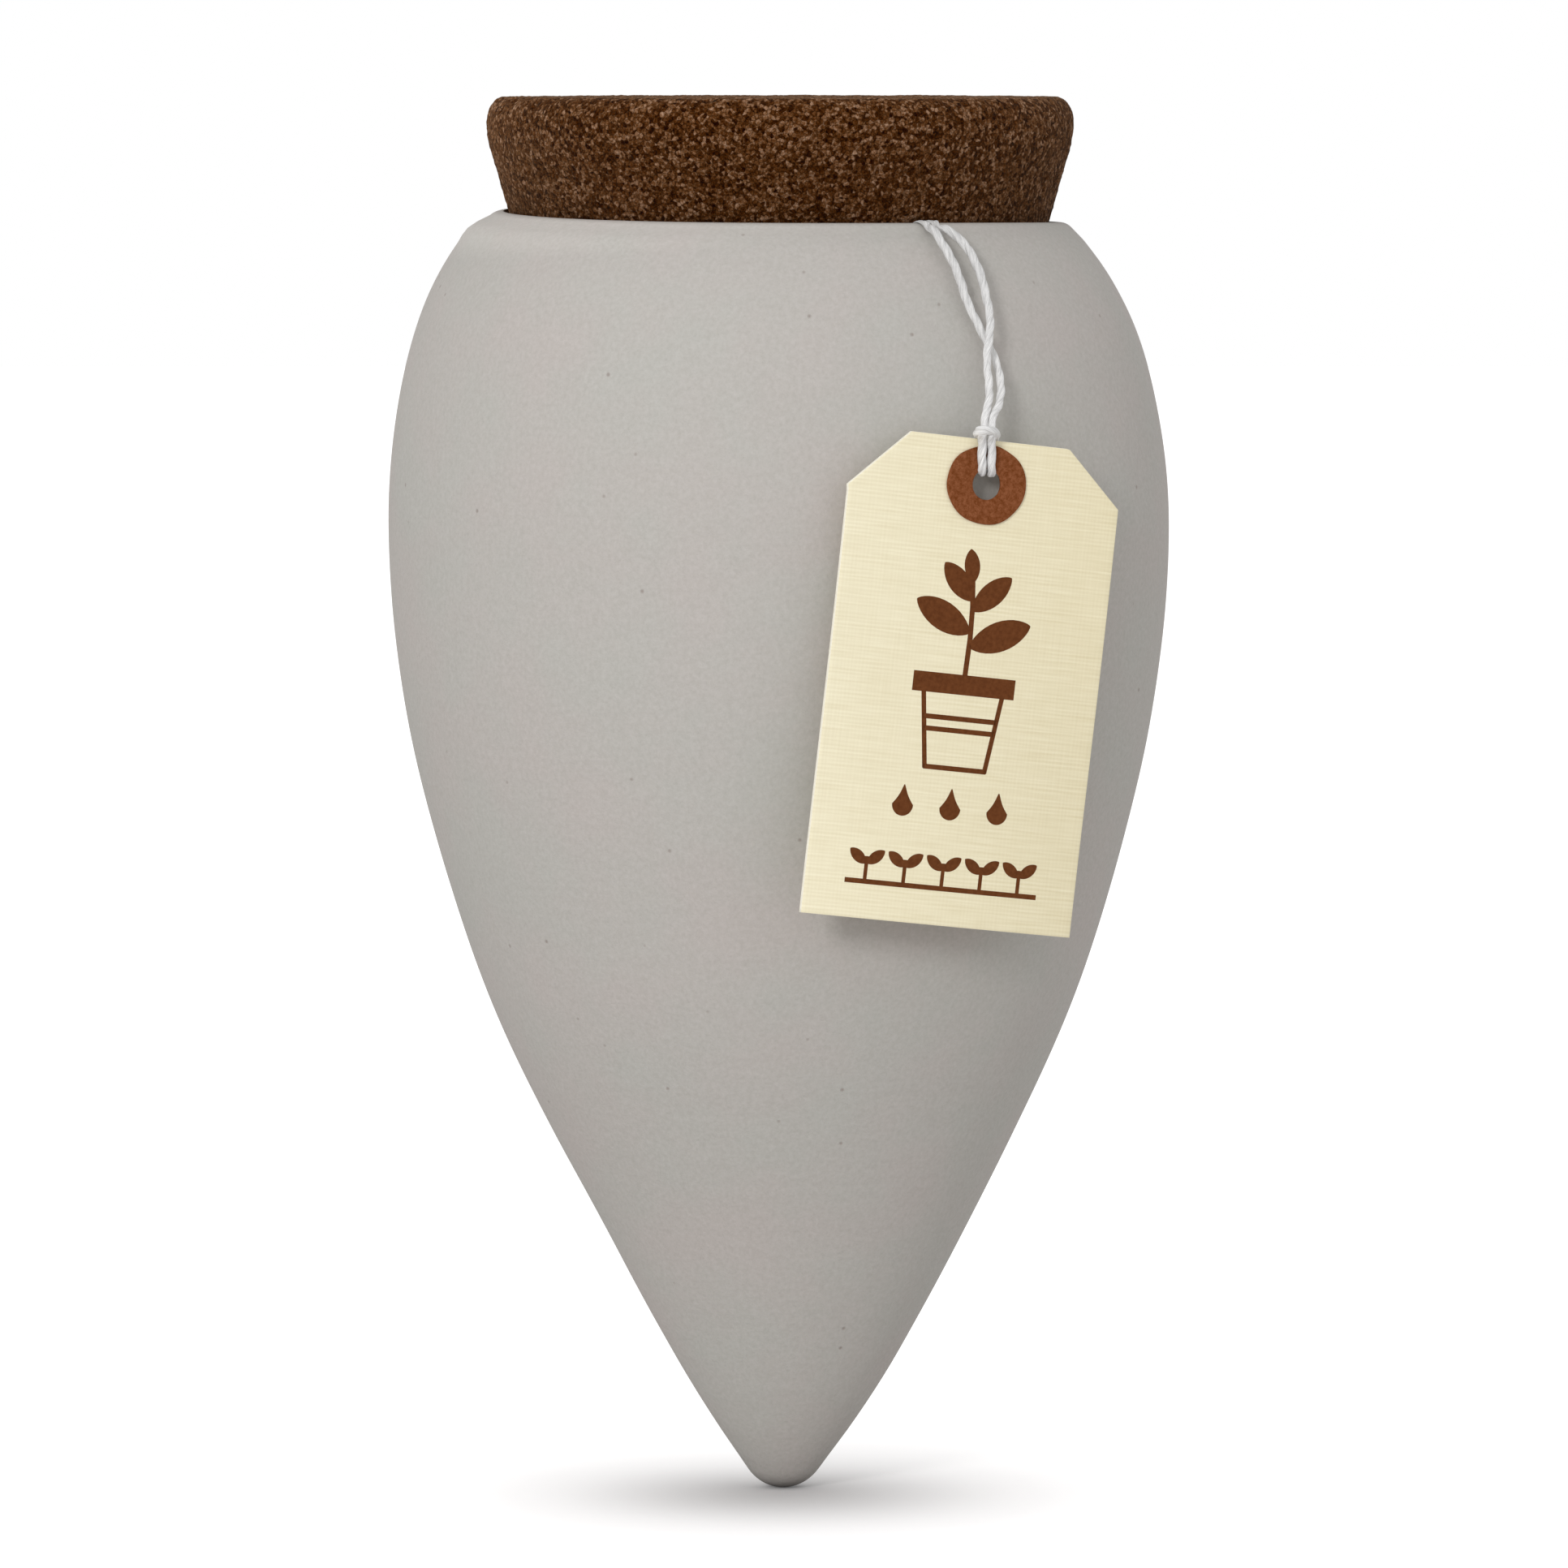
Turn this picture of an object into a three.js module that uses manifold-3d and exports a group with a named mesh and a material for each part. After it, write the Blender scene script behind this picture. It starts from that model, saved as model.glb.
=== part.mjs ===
// Irrigation olla: a pointed, unglazed clay vessel that is buried in soil up to its shoulder, a tapered
// cork stopper in its mouth, and a card tag on a doubled string that the stopper nips against the rim.
// Millimetres and degrees, +Z up, origin at the tip of the vessel, front towards -Y.
import * as THREE from "three";
import { mergeVertices } from "three/addons/utils/BufferGeometryUtils.js";
import Module from "manifold-3d";

const wasm = await Module();
wasm.setup();

// Vessel: the outline is the round tip, a flank up to the widest ring, and a shoulder up to the rim
const BELLY_DIAMETER = 80; // widest outside diameter
const BELLY_HEIGHT = 99; // tip to the widest ring
const RIM_HEIGHT = 131; // tip to the top of the rim
const TIP_ROUND = 4.3; // radius of the point
const TIP_HALF_ANGLE = 33.1; // flank against the axis where it leaves the point
const FLANK_PULL = 38.7; // how far the flank is drawn along its direction at the point
const BELLY_PULL = 31.9; // how far the flank is drawn straight down from the widest ring
const SHOULDER_PULL = 7.9; // how far the shoulder is drawn straight up from the widest ring
const RIM_PULL = 11.8; // how far the shoulder is drawn along its direction at the rim
const SHOULDER_SLOPE = 47; // shoulder against the axis where it meets the rim
const RIM_ROUND = 2; // outer rounding of the rim
const RIM_LAND = 0.2; // flat ring on top of the rim
const LIP_ROUND = 1; // inner rounding of the rim
const MOUTH_DIAMETER = 55.6; // clear bore of the mouth
const WALL = 5.5; // clay thickness
const FLOOR_ROUND = 5; // rounding of the hollow over the tip

// Stopper
const CORK_HEIGHT = 23; // whole height
const CORK_PROUD = 12.3; // what stands above the rim
const CORK_TAPER = 16.2; // side against the axis
const CORK_SIDE_ROUND = 11; // bend of the side from its taper to upright under the top edge
const CORK_EDGE_ACROSS = 1.85; // worn top edge, in from the widest ring
const CORK_EDGE_DOWN = 2.7; // worn top edge, down to the widest ring
const CORK_FOOT_ROUND = 0.8; // bottom edge
const SEAT_GAP = 0.3; // between the stopper and the lip that it sits on

// Tag: a card with clipped top corners and a glued fibre ring on each face round its hole
const TAG_WIDTH = 29.7;
const TAG_HEIGHT = 48.6;
const TAG_THICKNESS = 0.5;
const TAG_CLIP_ACROSS = 6.2; // clipped corner along the top edge
const TAG_CLIP_DOWN = 5.8; // clipped corner along the side edge
const TAG_AZIMUTH = 24; // direction that the card faces, from the front towards +X
const TAG_ACROSS = 3.5; // hitch beside the line where the card's plane comes nearest the belly
const TAG_ROLL = 6.7; // lean of the card in its own plane, top towards +X
const HOLE_DIAMETER = 3;
const HOLE_DOWN = 4.65; // top edge of the card to the middle of the hole
const RING_DIAMETER = 8;
const RING_THICKNESS = 0.2;
const GLUE_FILM = 0.05; // between card and ring

// String: one cotton cord, doubled; its loop is hitched through the tag, its two ends are knotted
const STRING_DIAMETER = 0.95;
const STRAND_GAP = 0.2; // between the two strands where they run side by side
const HITCH_GAP = 0.15; // between the turns of the hitch and what they wrap
const LAY_GAP = 0.3; // between the string and the clay or the cork
const NIP_AZIMUTH = 30.3; // where the string crosses the rim, from the front towards +X
const ARCH_RADIUS = 2.1; // bend of the string over the rim
const ARCH_RISE = 0.4; // clear height of the string over the rim
const TAIL_LENGTH = 39; // hidden length that hangs inside, from the bend to the knot
const KNOT_WIDTH = 3.6;
const KNOT_HEIGHT = 4.6;
const SPLIT_GAP = 0.3; // between the lengths of string that move apart
const HITCH_HEIGHT = 110; // tip of the vessel to the bar of the hitch
const BAR_RISE = 0.7; // bar of the hitch above the card's top edge
const HITCH_LEAN = 1; // how far the hole lies to the right of the bar, as the string pulls aslant

// Fineness of the round forms
const TURN_FACETS = 48;
const FLANK_STEPS = 14;
const SHOULDER_STEPS = 8;
const ROUND_STEPS = 4;
const CORK_FOOT_STEPS = 3;
const CORK_SIDE_STEPS = 3;
const CORK_EDGE_STEPS = 6;
const DENT_STEPS = 8;
const STRING_SIDES = 8;
const TAIL_STEPS = 36;
const STRAND_STEPS = 32;
const HITCH_STEPS = 72;
const HOLE_FACETS = 10;

const rad = THREE.MathUtils.degToRad;
const bellyRadius = BELLY_DIAMETER / 2;
const mouthRadius = MOUTH_DIAMETER / 2;
const stringRadius = STRING_DIAMETER / 2;
const strandPitch = STRING_DIAMETER + STRAND_GAP;

// A horizontal direction by its azimuth, from the front (-Y) towards +X
function facing(azimuth) {
  return new THREE.Vector3(Math.sin(rad(azimuth)), -Math.cos(rad(azimuth)), 0);
}

// The points of an arc in the radius-height plane, both ends included
function arcPoints(center, radius, from, to, steps = ROUND_STEPS) {
  const points = [];
  for (let i = 0; i <= steps; i++) {
    const angle = from + ((to - from) * i) / steps;
    points.push(new THREE.Vector2(Math.cos(angle), Math.sin(angle)).multiplyScalar(radius).add(center));
  }
  return points;
}

// A closed solid turned about +Z from a radius-height profile that runs from the axis to the axis
function turned(profile) {
  return new THREE.LatheGeometry(profile, TURN_FACETS).rotateX(Math.PI / 2);
}

// A round string along a smooth line through the points
function stringAlong(points, steps) {
  const section = new THREE.Shape();
  for (let i = 0; i < STRING_SIDES; i++) {
    const angle = (2 * Math.PI * i) / STRING_SIDES;
    const corner = [stringRadius * Math.cos(angle), stringRadius * Math.sin(angle)];
    if (i === 0) section.moveTo(...corner);
    else section.lineTo(...corner);
  }
  const path = new THREE.CatmullRomCurve3(points, false, "centripetal");
  return new THREE.ExtrudeGeometry(section, { steps, extrudePath: path });
}

// The solid of a closed geometry, and back
function solidOf(geometry) {
  const bare = geometry.clone();
  bare.deleteAttribute("normal");
  bare.deleteAttribute("uv");
  const merged = mergeVertices(bare, 1e-4);
  return new wasm.Manifold(
    new wasm.Mesh({
      numProp: 3,
      vertProperties: new Float32Array(merged.attributes.position.array),
      triVerts: new Uint32Array(merged.index.array),
    }),
  );
}

function geometryOf(solid) {
  const mesh = solid.getMesh();
  const geometry = new THREE.BufferGeometry();
  geometry.setAttribute("position", new THREE.BufferAttribute(mesh.vertProperties, 3));
  geometry.setIndex(new THREE.BufferAttribute(mesh.triVerts, 1));
  geometry.computeVertexNormals();
  return geometry;
}

// Outer outline of the vessel as three curves in the radius-height plane
const tipAngle = rad(TIP_HALF_ANGLE);
const slopeAngle = rad(SHOULDER_SLOPE);
const tipCenter = new THREE.Vector2(0, TIP_ROUND);
const flankStart = new THREE.Vector2(Math.cos(tipAngle), -Math.sin(tipAngle))
  .multiplyScalar(TIP_ROUND)
  .add(tipCenter);
const flankHandle = new THREE.Vector2(Math.sin(tipAngle), Math.cos(tipAngle))
  .multiplyScalar(FLANK_PULL)
  .add(flankStart);
const belly = new THREE.Vector2(bellyRadius, BELLY_HEIGHT);
const flank = new THREE.CubicBezierCurve(
  flankStart,
  flankHandle,
  new THREE.Vector2(bellyRadius, BELLY_HEIGHT - BELLY_PULL),
  belly,
);
const lipCenter = new THREE.Vector2(mouthRadius + LIP_ROUND, RIM_HEIGHT - LIP_ROUND);
const rimCenter = new THREE.Vector2(lipCenter.x + RIM_LAND, RIM_HEIGHT - RIM_ROUND);
const shoulderEnd = new THREE.Vector2(Math.cos(slopeAngle), Math.sin(slopeAngle))
  .multiplyScalar(RIM_ROUND)
  .add(rimCenter);
const shoulderHandle = new THREE.Vector2(Math.sin(slopeAngle), -Math.cos(slopeAngle))
  .multiplyScalar(RIM_PULL)
  .add(shoulderEnd);
const shoulder = new THREE.CubicBezierCurve(
  belly,
  new THREE.Vector2(bellyRadius, BELLY_HEIGHT + SHOULDER_PULL),
  shoulderHandle,
  shoulderEnd,
);

// Stations up the flank and the shoulder: a point on the outside and the outward direction there
function stationsOn(curve, steps) {
  const stations = [];
  for (let i = 0; i <= steps; i++) {
    const tangent = curve.getTangent(i / steps);
    stations.push({ point: curve.getPoint(i / steps), out: new THREE.Vector2(tangent.y, -tangent.x) });
  }
  return stations;
}
const stations = [...stationsOn(flank, FLANK_STEPS), ...stationsOn(shoulder, SHOULDER_STEPS).slice(1)];

function vesselGeometry() {
  const outside = stations.map((station) => station.point);
  const tip = arcPoints(tipCenter, TIP_ROUND, -Math.PI / 2, -tipAngle).slice(0, -1);
  const rim = arcPoints(rimCenter, RIM_ROUND, slopeAngle, Math.PI / 2).slice(1);
  const lip = arcPoints(lipCenter, LIP_ROUND, Math.PI / 2, Math.PI);
  // The hollow keeps the wall's thickness; it starts under the mouth and ends in a round floor
  const hollow = stations.map(({ point, out }) => ({ at: point.clone().addScaledVector(out, -WALL), out }));
  const widest = hollow.findIndex(({ at }) => at.y >= BELLY_HEIGHT);
  const belowMouth = hollow.findIndex(({ at }, i) => i > widest && at.x < mouthRadius);
  const upper = hollow[belowMouth - 1].at;
  const share = (upper.x - mouthRadius) / (upper.x - hollow[belowMouth].at.x);
  const mouthFoot = upper.clone().lerp(hollow[belowMouth].at, share);
  const onFloor = hollow.findIndex(({ at, out }) => at.x >= FLOOR_ROUND * out.x);
  const floorTop = hollow[onFloor];
  const floorRadius = floorTop.at.x / floorTop.out.x;
  const floorCenter = new THREE.Vector2(0, floorTop.at.y - floorRadius * floorTop.out.y);
  const floorEdge = Math.atan2(floorTop.out.y, floorTop.out.x);
  const inside = hollow.slice(onFloor, belowMouth).map(({ at }) => at);
  const floor = arcPoints(floorCenter, floorRadius, floorEdge, -Math.PI / 2).slice(1);
  return turned([...tip, ...outside, ...rim, ...lip, mouthFoot, ...inside.reverse(), ...floor]);
}

// Bend of the string over the rim: a circle in the upright plane at the nip
const tailRadius = mouthRadius - LAY_GAP - stringRadius;
const archTop = RIM_HEIGHT + ARCH_RISE + stringRadius;
const archCenter = new THREE.Vector2(tailRadius + ARCH_RADIUS, archTop - ARCH_RADIUS);
const nipOut = facing(NIP_AZIMUTH);
const nipSide = facing(NIP_AZIMUTH + 90);

// A point in the nip's plane, moved sideways along the rim
function atNip(radius, height, side) {
  return nipOut.clone().multiplyScalar(radius).addScaledVector(nipSide, side).setZ(height);
}

// A point of the bend; angle 0 is its top and positive angles lie outside the rim
function onArch(angle, side) {
  const radius = archCenter.x + ARCH_RADIUS * Math.sin(rad(angle));
  return atNip(radius, archCenter.y + ARCH_RADIUS * Math.cos(rad(angle)), side);
}

// The level end of a length of string at the bend's top; way is 1 outside the split and -1 inside it
function archEnd(way, side) {
  return [0.5, 1].map((share) => atNip(archCenter.x + way * share * SPLIT_GAP, archTop, side));
}
const knotTop = archCenter.y - TAIL_LENGTH;

function corkGeometry() {
  const taper = rad(CORK_TAPER);
  const seatRadius = lipCenter.x - (LIP_ROUND + SEAT_GAP) / Math.cos(taper);
  const top = RIM_HEIGHT + CORK_PROUD;
  const bottom = top - CORK_HEIGHT;
  // Middle of a rounding of the given radius that touches the tapered side from inside
  const roundCenter = (height, radius) => {
    const side = seatRadius + (height - lipCenter.y) * Math.tan(taper);
    return new THREE.Vector2(side - radius / Math.cos(taper), height);
  };
  const footCenter = roundCenter(bottom + CORK_FOOT_ROUND, CORK_FOOT_ROUND);
  const sideCenter = roundCenter(top - CORK_EDGE_DOWN, CORK_SIDE_ROUND);
  const edgeSize = new THREE.Vector2(CORK_EDGE_ACROSS, CORK_EDGE_DOWN);
  const edgeCenter = new THREE.Vector2(sideCenter.x + CORK_SIDE_ROUND - CORK_EDGE_ACROSS, sideCenter.y);
  const unitArc = arcPoints(new THREE.Vector2(), 1, 0, Math.PI / 2, CORK_EDGE_STEPS);
  const body = turned([
    new THREE.Vector2(0, bottom),
    ...arcPoints(footCenter, CORK_FOOT_ROUND, -Math.PI / 2, -taper, CORK_FOOT_STEPS),
    ...arcPoints(sideCenter, CORK_SIDE_ROUND, -taper, 0, CORK_SIDE_STEPS).slice(0, -1),
    ...unitArc.map((point) => point.multiply(edgeSize).add(edgeCenter)),
    new THREE.Vector2(0, top),
  ]);
  // The dent that the string presses into the cork, open downwards and outwards
  const clear = stringRadius + LAY_GAP;
  const past = bellyRadius; // well outside the cork
  const dent = new THREE.Shape();
  dent.moveTo(tailRadius - clear, bottom - clear);
  dent.lineTo(past, bottom - clear);
  dent.lineTo(past, archTop + clear);
  dent.absarc(archCenter.x, archCenter.y, ARCH_RADIUS + clear, Math.PI / 2, Math.PI, false);
  const width = strandPitch + 2 * clear;
  const block = { depth: width, bevelEnabled: false, curveSegments: DENT_STEPS };
  const tool = new THREE.ExtrudeGeometry(dent, block);
  tool.translate(0, 0, -width / 2);
  const up = new THREE.Vector3(0, 0, 1);
  tool.applyMatrix4(new THREE.Matrix4().makeBasis(nipOut, up, nipOut.clone().cross(up)));
  return geometryOf(solidOf(body).subtract(solidOf(tool)));
}

// The place on the outside of the wall at a height, and the outward direction there
function wallAt(height) {
  const above = stations.findIndex((station) => station.point.y > height);
  const low = stations[above - 1];
  const high = stations[above];
  const share = (height - low.point.y) / (high.point.y - low.point.y);
  return {
    point: low.point.clone().lerp(high.point, share),
    out: low.out.clone().lerp(high.out, share).normalize(),
  };
}

// A point of the string beside the wall: height and azimuth of the clay under it, and the clear gap
function besideWall([height, azimuth, gap]) {
  const { point, out } = wallAt(height);
  const at = point.addScaledVector(out, gap + stringRadius);
  return facing(azimuth).multiplyScalar(at.x).setZ(at.y);
}

// Routes of the two strands down the shoulder: height, azimuth and gap to the clay; they cross once
const FIRST_STRAND = [
  [128.4, 29.4, 0.3],
  [126.4, 30.4, 0.3],
  [124, 31, 0.3],
  [121.6, 31.9, 0.3],
  [120, 32.8, 0.3],
  [118.6, 33.6, 0.3],
  [117, 34.3, 0.5],
  [115.2, 33.8, 1],
  [113.6, 32.9, 1.7],
];
const SECOND_STRAND = [
  [128.8, 32.9, 0.5],
  [127, 34.8, 0.8],
  [124.8, 35.3, 0.8],
  [122.6, 35, 0.8],
  [121, 34.1, 1],
  [119.8, 33.2, 1.3],
  [118.6, 32.3, 1.55],
  [117.2, 31.5, 1.5],
  [115.4, 31.4, 1.6],
  [113.8, 30.8, 1.9],
];

// Frame of the tag: origin in the bar of the hitch, x along the top edge, y up the card, z outwards
const legOut = STRING_DIAMETER + HITCH_GAP; // bar to the legs behind it
const legOff = TAG_THICKNESS / 2 + GLUE_FILM + RING_THICKNESS + HITCH_GAP + stringRadius;
const cardDepth = legOut + legOff; // bar to the middle of the card
const holeDown = BAR_RISE + HOLE_DOWN; // bar to the middle of the hole
const holeWall = wallAt(HITCH_HEIGHT - holeDown).point.x; // radius of the clay behind the hole
const wallReach = Math.sqrt(holeWall ** 2 - TAG_ACROSS ** 2); // its distance in the card's direction
const barDistance = wallReach + LAY_GAP + stringRadius + legOff + cardDepth;
const tagOut = facing(TAG_AZIMUTH);
const tagRight = facing(TAG_AZIMUTH + 90)
  .multiplyScalar(Math.cos(rad(TAG_ROLL)))
  .setZ(-Math.sin(rad(TAG_ROLL)));
const tagGroup = new THREE.Group();
tagGroup.position
  .copy(tagOut)
  .multiplyScalar(barDistance)
  .addScaledVector(facing(TAG_AZIMUTH + 90), TAG_ACROSS)
  .setZ(HITCH_HEIGHT);
tagGroup.quaternion.setFromRotationMatrix(
  new THREE.Matrix4().makeBasis(tagRight, tagOut.clone().cross(tagRight), tagOut),
);
tagGroup.updateMatrixWorld();

function atTag(across, up, out) {
  return tagGroup.localToWorld(new THREE.Vector3(across, up, out));
}

function cardGeometry() {
  const half = TAG_WIDTH / 2;
  const top = -BAR_RISE;
  const bottom = top - TAG_HEIGHT;
  const outline = new THREE.Shape();
  outline.moveTo(-half, bottom);
  outline.lineTo(half, bottom);
  outline.lineTo(half, top - TAG_CLIP_DOWN);
  outline.lineTo(half - TAG_CLIP_ACROSS, top);
  outline.lineTo(TAG_CLIP_ACROSS - half, top);
  outline.lineTo(-half, top - TAG_CLIP_DOWN);
  outline.closePath();
  outline.holes.push(new THREE.Path().absarc(0, -holeDown, HOLE_DIAMETER / 2, 0, 2 * Math.PI));
  const sheet = { depth: TAG_THICKNESS, bevelEnabled: false, curveSegments: HOLE_FACETS };
  return new THREE.ExtrudeGeometry(outline, sheet).translate(HITCH_LEAN, 0, -cardDepth - TAG_THICKNESS / 2);
}

// A glued ring on one face of the card; side is 1 on the front and -1 on the back
function ringGeometry(side) {
  const outline = new THREE.Shape().absarc(0, -holeDown, RING_DIAMETER / 2, 0, 2 * Math.PI);
  outline.holes.push(new THREE.Path().absarc(0, -holeDown, HOLE_DIAMETER / 2, 0, 2 * Math.PI));
  const sheet = { depth: RING_THICKNESS, bevelEnabled: false, curveSegments: HOLE_FACETS };
  const middle = side * (TAG_THICKNESS / 2 + GLUE_FILM + RING_THICKNESS / 2) - cardDepth;
  return new THREE.ExtrudeGeometry(outline, sheet).translate(HITCH_LEAN, 0, middle - RING_THICKNESS / 2);
}

// The hitch in the tag's frame: each leg runs down the front, through the hole and up the back, and the
// bar over the top edge joins the two in front of the strands
function hitchGeometry() {
  const leg = strandPitch / 2;
  const wrap = leg + STRING_DIAMETER + HITCH_GAP;
  const front = -legOut;
  const back = -cardDepth - legOff;
  const bend = legOff; // radius of the turn through the hole, from the front legs to the back ones
  const cut = bend * (1 - Math.SQRT1_2); // how far the middle of that turn lies inside its corner
  const through = -holeDown + HOLE_DIAMETER / 2 - stringRadius - 2 * LAY_GAP;
  const half = [
    [leg, -SPLIT_GAP / 2, front],
    [leg, (through + bend) / 2, front],
    [leg, through + bend, front],
    [leg, through + cut, front - cut],
    [leg, through, -cardDepth],
    [leg, through + cut, back + cut],
    [leg, through + bend, back],
    [(leg + wrap) / 2, -BAR_RISE - STRING_DIAMETER, back],
    [wrap, -cut, back + cut],
    [wrap, 0, -cardDepth],
    [wrap, 0, front],
    [wrap - cut, 0, -cut],
    [wrap / 2, 0, 0],
  ];
  // One half of the hitch, leaning from the bar to the hole; side is 1 on the right and -1 on the left
  const onSide = (side) => {
    return half.map(([across, up, out]) => {
      return new THREE.Vector3(side * across + (HITCH_LEAN * up) / through, up, out);
    });
  };
  return stringAlong([...onSide(-1), ...onSide(1).reverse()], HITCH_STEPS);
}

// One strand from the top of the bend over the rim to the hitch
function strandGeometry(route, nipSideOffset, hitchSide) {
  return stringAlong(
    [
      ...archEnd(1, nipSideOffset),
      ...[30, 55].map((angle) => onArch(angle, nipSideOffset)),
      ...route.map(besideWall),
      atTag(hitchSide, 2 * STRING_DIAMETER, -legOut - HITCH_GAP),
      atTag(hitchSide, SPLIT_GAP / 2, -legOut),
    ],
    STRAND_STEPS,
  );
}

// One tail inside the vessel, from the knot to the top of the bend
function tailGeometry(side) {
  const foot = knotTop + SPLIT_GAP;
  const drop = archCenter.y - foot;
  const hanging = [0, 0.25, 0.5, 0.75, 1].map((share) => atNip(tailRadius, foot + share * drop, side));
  const bend = [-60, -30].map((angle) => onArch(angle, side));
  return stringAlong([...hanging, ...bend, ...archEnd(-1, side).reverse()], TAIL_STEPS);
}

function knotGeometry() {
  const middle = atNip(tailRadius, knotTop - KNOT_HEIGHT / 2, 0);
  return new THREE.SphereGeometry(0.5, 12, 8)
    .rotateX(Math.PI / 2)
    .scale(KNOT_WIDTH, KNOT_WIDTH, KNOT_HEIGHT)
    .translate(middle.x, middle.y, middle.z);
}

const clay = { color: 0xbab7b1, roughness: 0.95, metalness: 0 };
const toastedCork = { color: 0x492d1a, roughness: 0.9, metalness: 0 };
const creamCard = { color: 0xece3c3, roughness: 0.85, metalness: 0 };
const fibre = { color: 0x7f4b2d, roughness: 0.8, metalness: 0 };
const cotton = { color: 0xf0eeea, roughness: 0.9, metalness: 0 };

function piece(name, geometry, finish) {
  const mesh = new THREE.Mesh(geometry, new THREE.MeshStandardMaterial(finish));
  mesh.name = name;
  return mesh;
}

const olla = new THREE.Group();
olla.name = "irrigation_olla";
olla.add(
  piece("clay_vessel", vesselGeometry(), clay),
  piece("cork_stopper", corkGeometry(), toastedCork),
  piece("string_tail_left", tailGeometry(-strandPitch / 2), cotton),
  piece("string_tail_right", tailGeometry(strandPitch / 2), cotton),
  piece("string_end_knot", knotGeometry(), cotton),
  piece("string_strand_left", strandGeometry(FIRST_STRAND, -strandPitch / 2, strandPitch / 2), cotton),
  piece("string_strand_right", strandGeometry(SECOND_STRAND, strandPitch / 2, -strandPitch / 2), cotton),
  tagGroup,
);
tagGroup.add(
  piece("tag_card", cardGeometry(), creamCard),
  piece("tag_ring_front", ringGeometry(1), fibre),
  piece("tag_ring_back", ringGeometry(-1), fibre),
  piece("string_hitch", hitchGeometry(), cotton),
);

export default olla;
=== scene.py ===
"""Irrigation olla: the looks of the clay vessel, its cork stopper and its tag on a string."""
import math

import bmesh
import bpy
from mathutils import Matrix, Quaternion, Vector, noise
from mathutils.geometry import interpolate_bezier


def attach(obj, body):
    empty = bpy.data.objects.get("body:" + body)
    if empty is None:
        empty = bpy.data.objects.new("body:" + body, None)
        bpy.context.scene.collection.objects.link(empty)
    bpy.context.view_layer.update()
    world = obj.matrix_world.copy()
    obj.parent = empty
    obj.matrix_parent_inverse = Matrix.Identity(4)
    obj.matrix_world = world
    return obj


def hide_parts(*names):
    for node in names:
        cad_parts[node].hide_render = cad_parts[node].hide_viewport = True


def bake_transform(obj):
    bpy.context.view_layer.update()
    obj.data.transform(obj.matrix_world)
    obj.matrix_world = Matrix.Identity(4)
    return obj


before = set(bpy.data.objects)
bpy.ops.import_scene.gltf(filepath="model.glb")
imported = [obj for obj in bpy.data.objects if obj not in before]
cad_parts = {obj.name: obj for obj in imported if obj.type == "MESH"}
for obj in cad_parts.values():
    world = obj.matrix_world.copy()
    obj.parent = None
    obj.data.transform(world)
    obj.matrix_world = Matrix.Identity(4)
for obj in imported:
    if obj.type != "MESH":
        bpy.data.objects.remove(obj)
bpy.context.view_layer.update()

TINTED = {"data_type": "RGBA", "blend_type": "MULTIPLY"}  # settings of a mix that tints A with B
MM = 0.001
TO_METRES = Matrix.Scale(MM, 4)

# Camera: a long lens in front of the olla, a little above its rim, looking slightly down
EYE = Vector((0.5, -1200, 150))
LOOKS_AT = Vector((0.5, 0, 72.6))
FIELD_WIDTH = 161  # seen across at the olla's axis
SENSOR_WIDTH = 36
# Light: a soft box at the front left, in metres and watts, and the room's strength at eye height and overhead
KEY_PLACE = (-0.42, -1.15, 0.5)
KEY_SIZE = 0.25
KEY_WATTS = 5.9
LIT_PLACE = (0, 0, 0.08)  # what the soft box faces
ROOM_STRENGTHS = (0.82, 0.76)
FLOOR_SIZE = 4000  # half its width

# Vessel, as in the CAD
TIP_ROUND = 4.3
TIP_ANGLE = math.radians(33.1)
FLANK = [(3.602, 1.952), (24.737, 34.372), (40, 67.1), (40, 99)]
SHOULDER = [(40, 99), (40, 106.9), (38.994, 122.415), (30.364, 130.463)]
RIM_MIDDLE = (29, 129)
RIM_ROUND = 2
RIM_ANGLE = math.radians(47)
LIP_MIDDLE = (28.8, 130)
LIP_ROUND = 1
MOUTH_RADIUS = 27.8
BORE_HEIGHTS = (127.5, 125.1)  # where the mouth's straight wall starts and ends
NECK_HEIGHT = 118  # above it the hollow stops at the mouth's wall
WALL = 5.5
FLOOR_ROUND = 5
TURNS = 192
# Hand forming: how far the outside leans to the right and swells at each height, its soft waves with their
# height and width, and how the rim drops
LEAN = [
    (0, 0.4), (2, 0.42), (8, 0.57), (17, 0.66), (28, 0.67), (45, 0.29), (70, 0.08), (98, -0.03), (112, -0.17),
    (122, -0.33), (127.5, -0.3), (129, -0.38), (129.8, -0.2), (130.3, 0.1), (131, 0.2)]
SWELL = [
    (1, 0), (7, 0.35), (12, 0.42), (17, 0.28), (27, -0.04), (37, 0), (47, 0.23), (53, 0.23), (63, 0),
    (75, -0.08), (92, -0.08), (102, 0), (112, -0.15), (119, -0.22), (127.5, -0.24), (129.2, -0.08),
    (129.8, -0.25), (130.4, -0.55), (131, -0.5)]
LONG_WAVE = (0.12, 34)
SHORT_WAVE = (0.03, 9)
WAVES_FADE = (126, 130)  # heights between which the waves die out
TIP_SPREAD = 6  # nearer to the axis than this, the swell dies out towards the tip
SKIN = (1, 0.1)  # depths under the outside between which the hand forming dies out
DROP_RISE = (116, 131)  # heights between which the rim's drop sets in
RIM_DROP = 0.17
RIM_DROP_RIGHT = 0.59
RIM_DROP_FRONT = 0.21
RIM_TWIST = 0.47  # more drop at the front left, less at the front right

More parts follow.
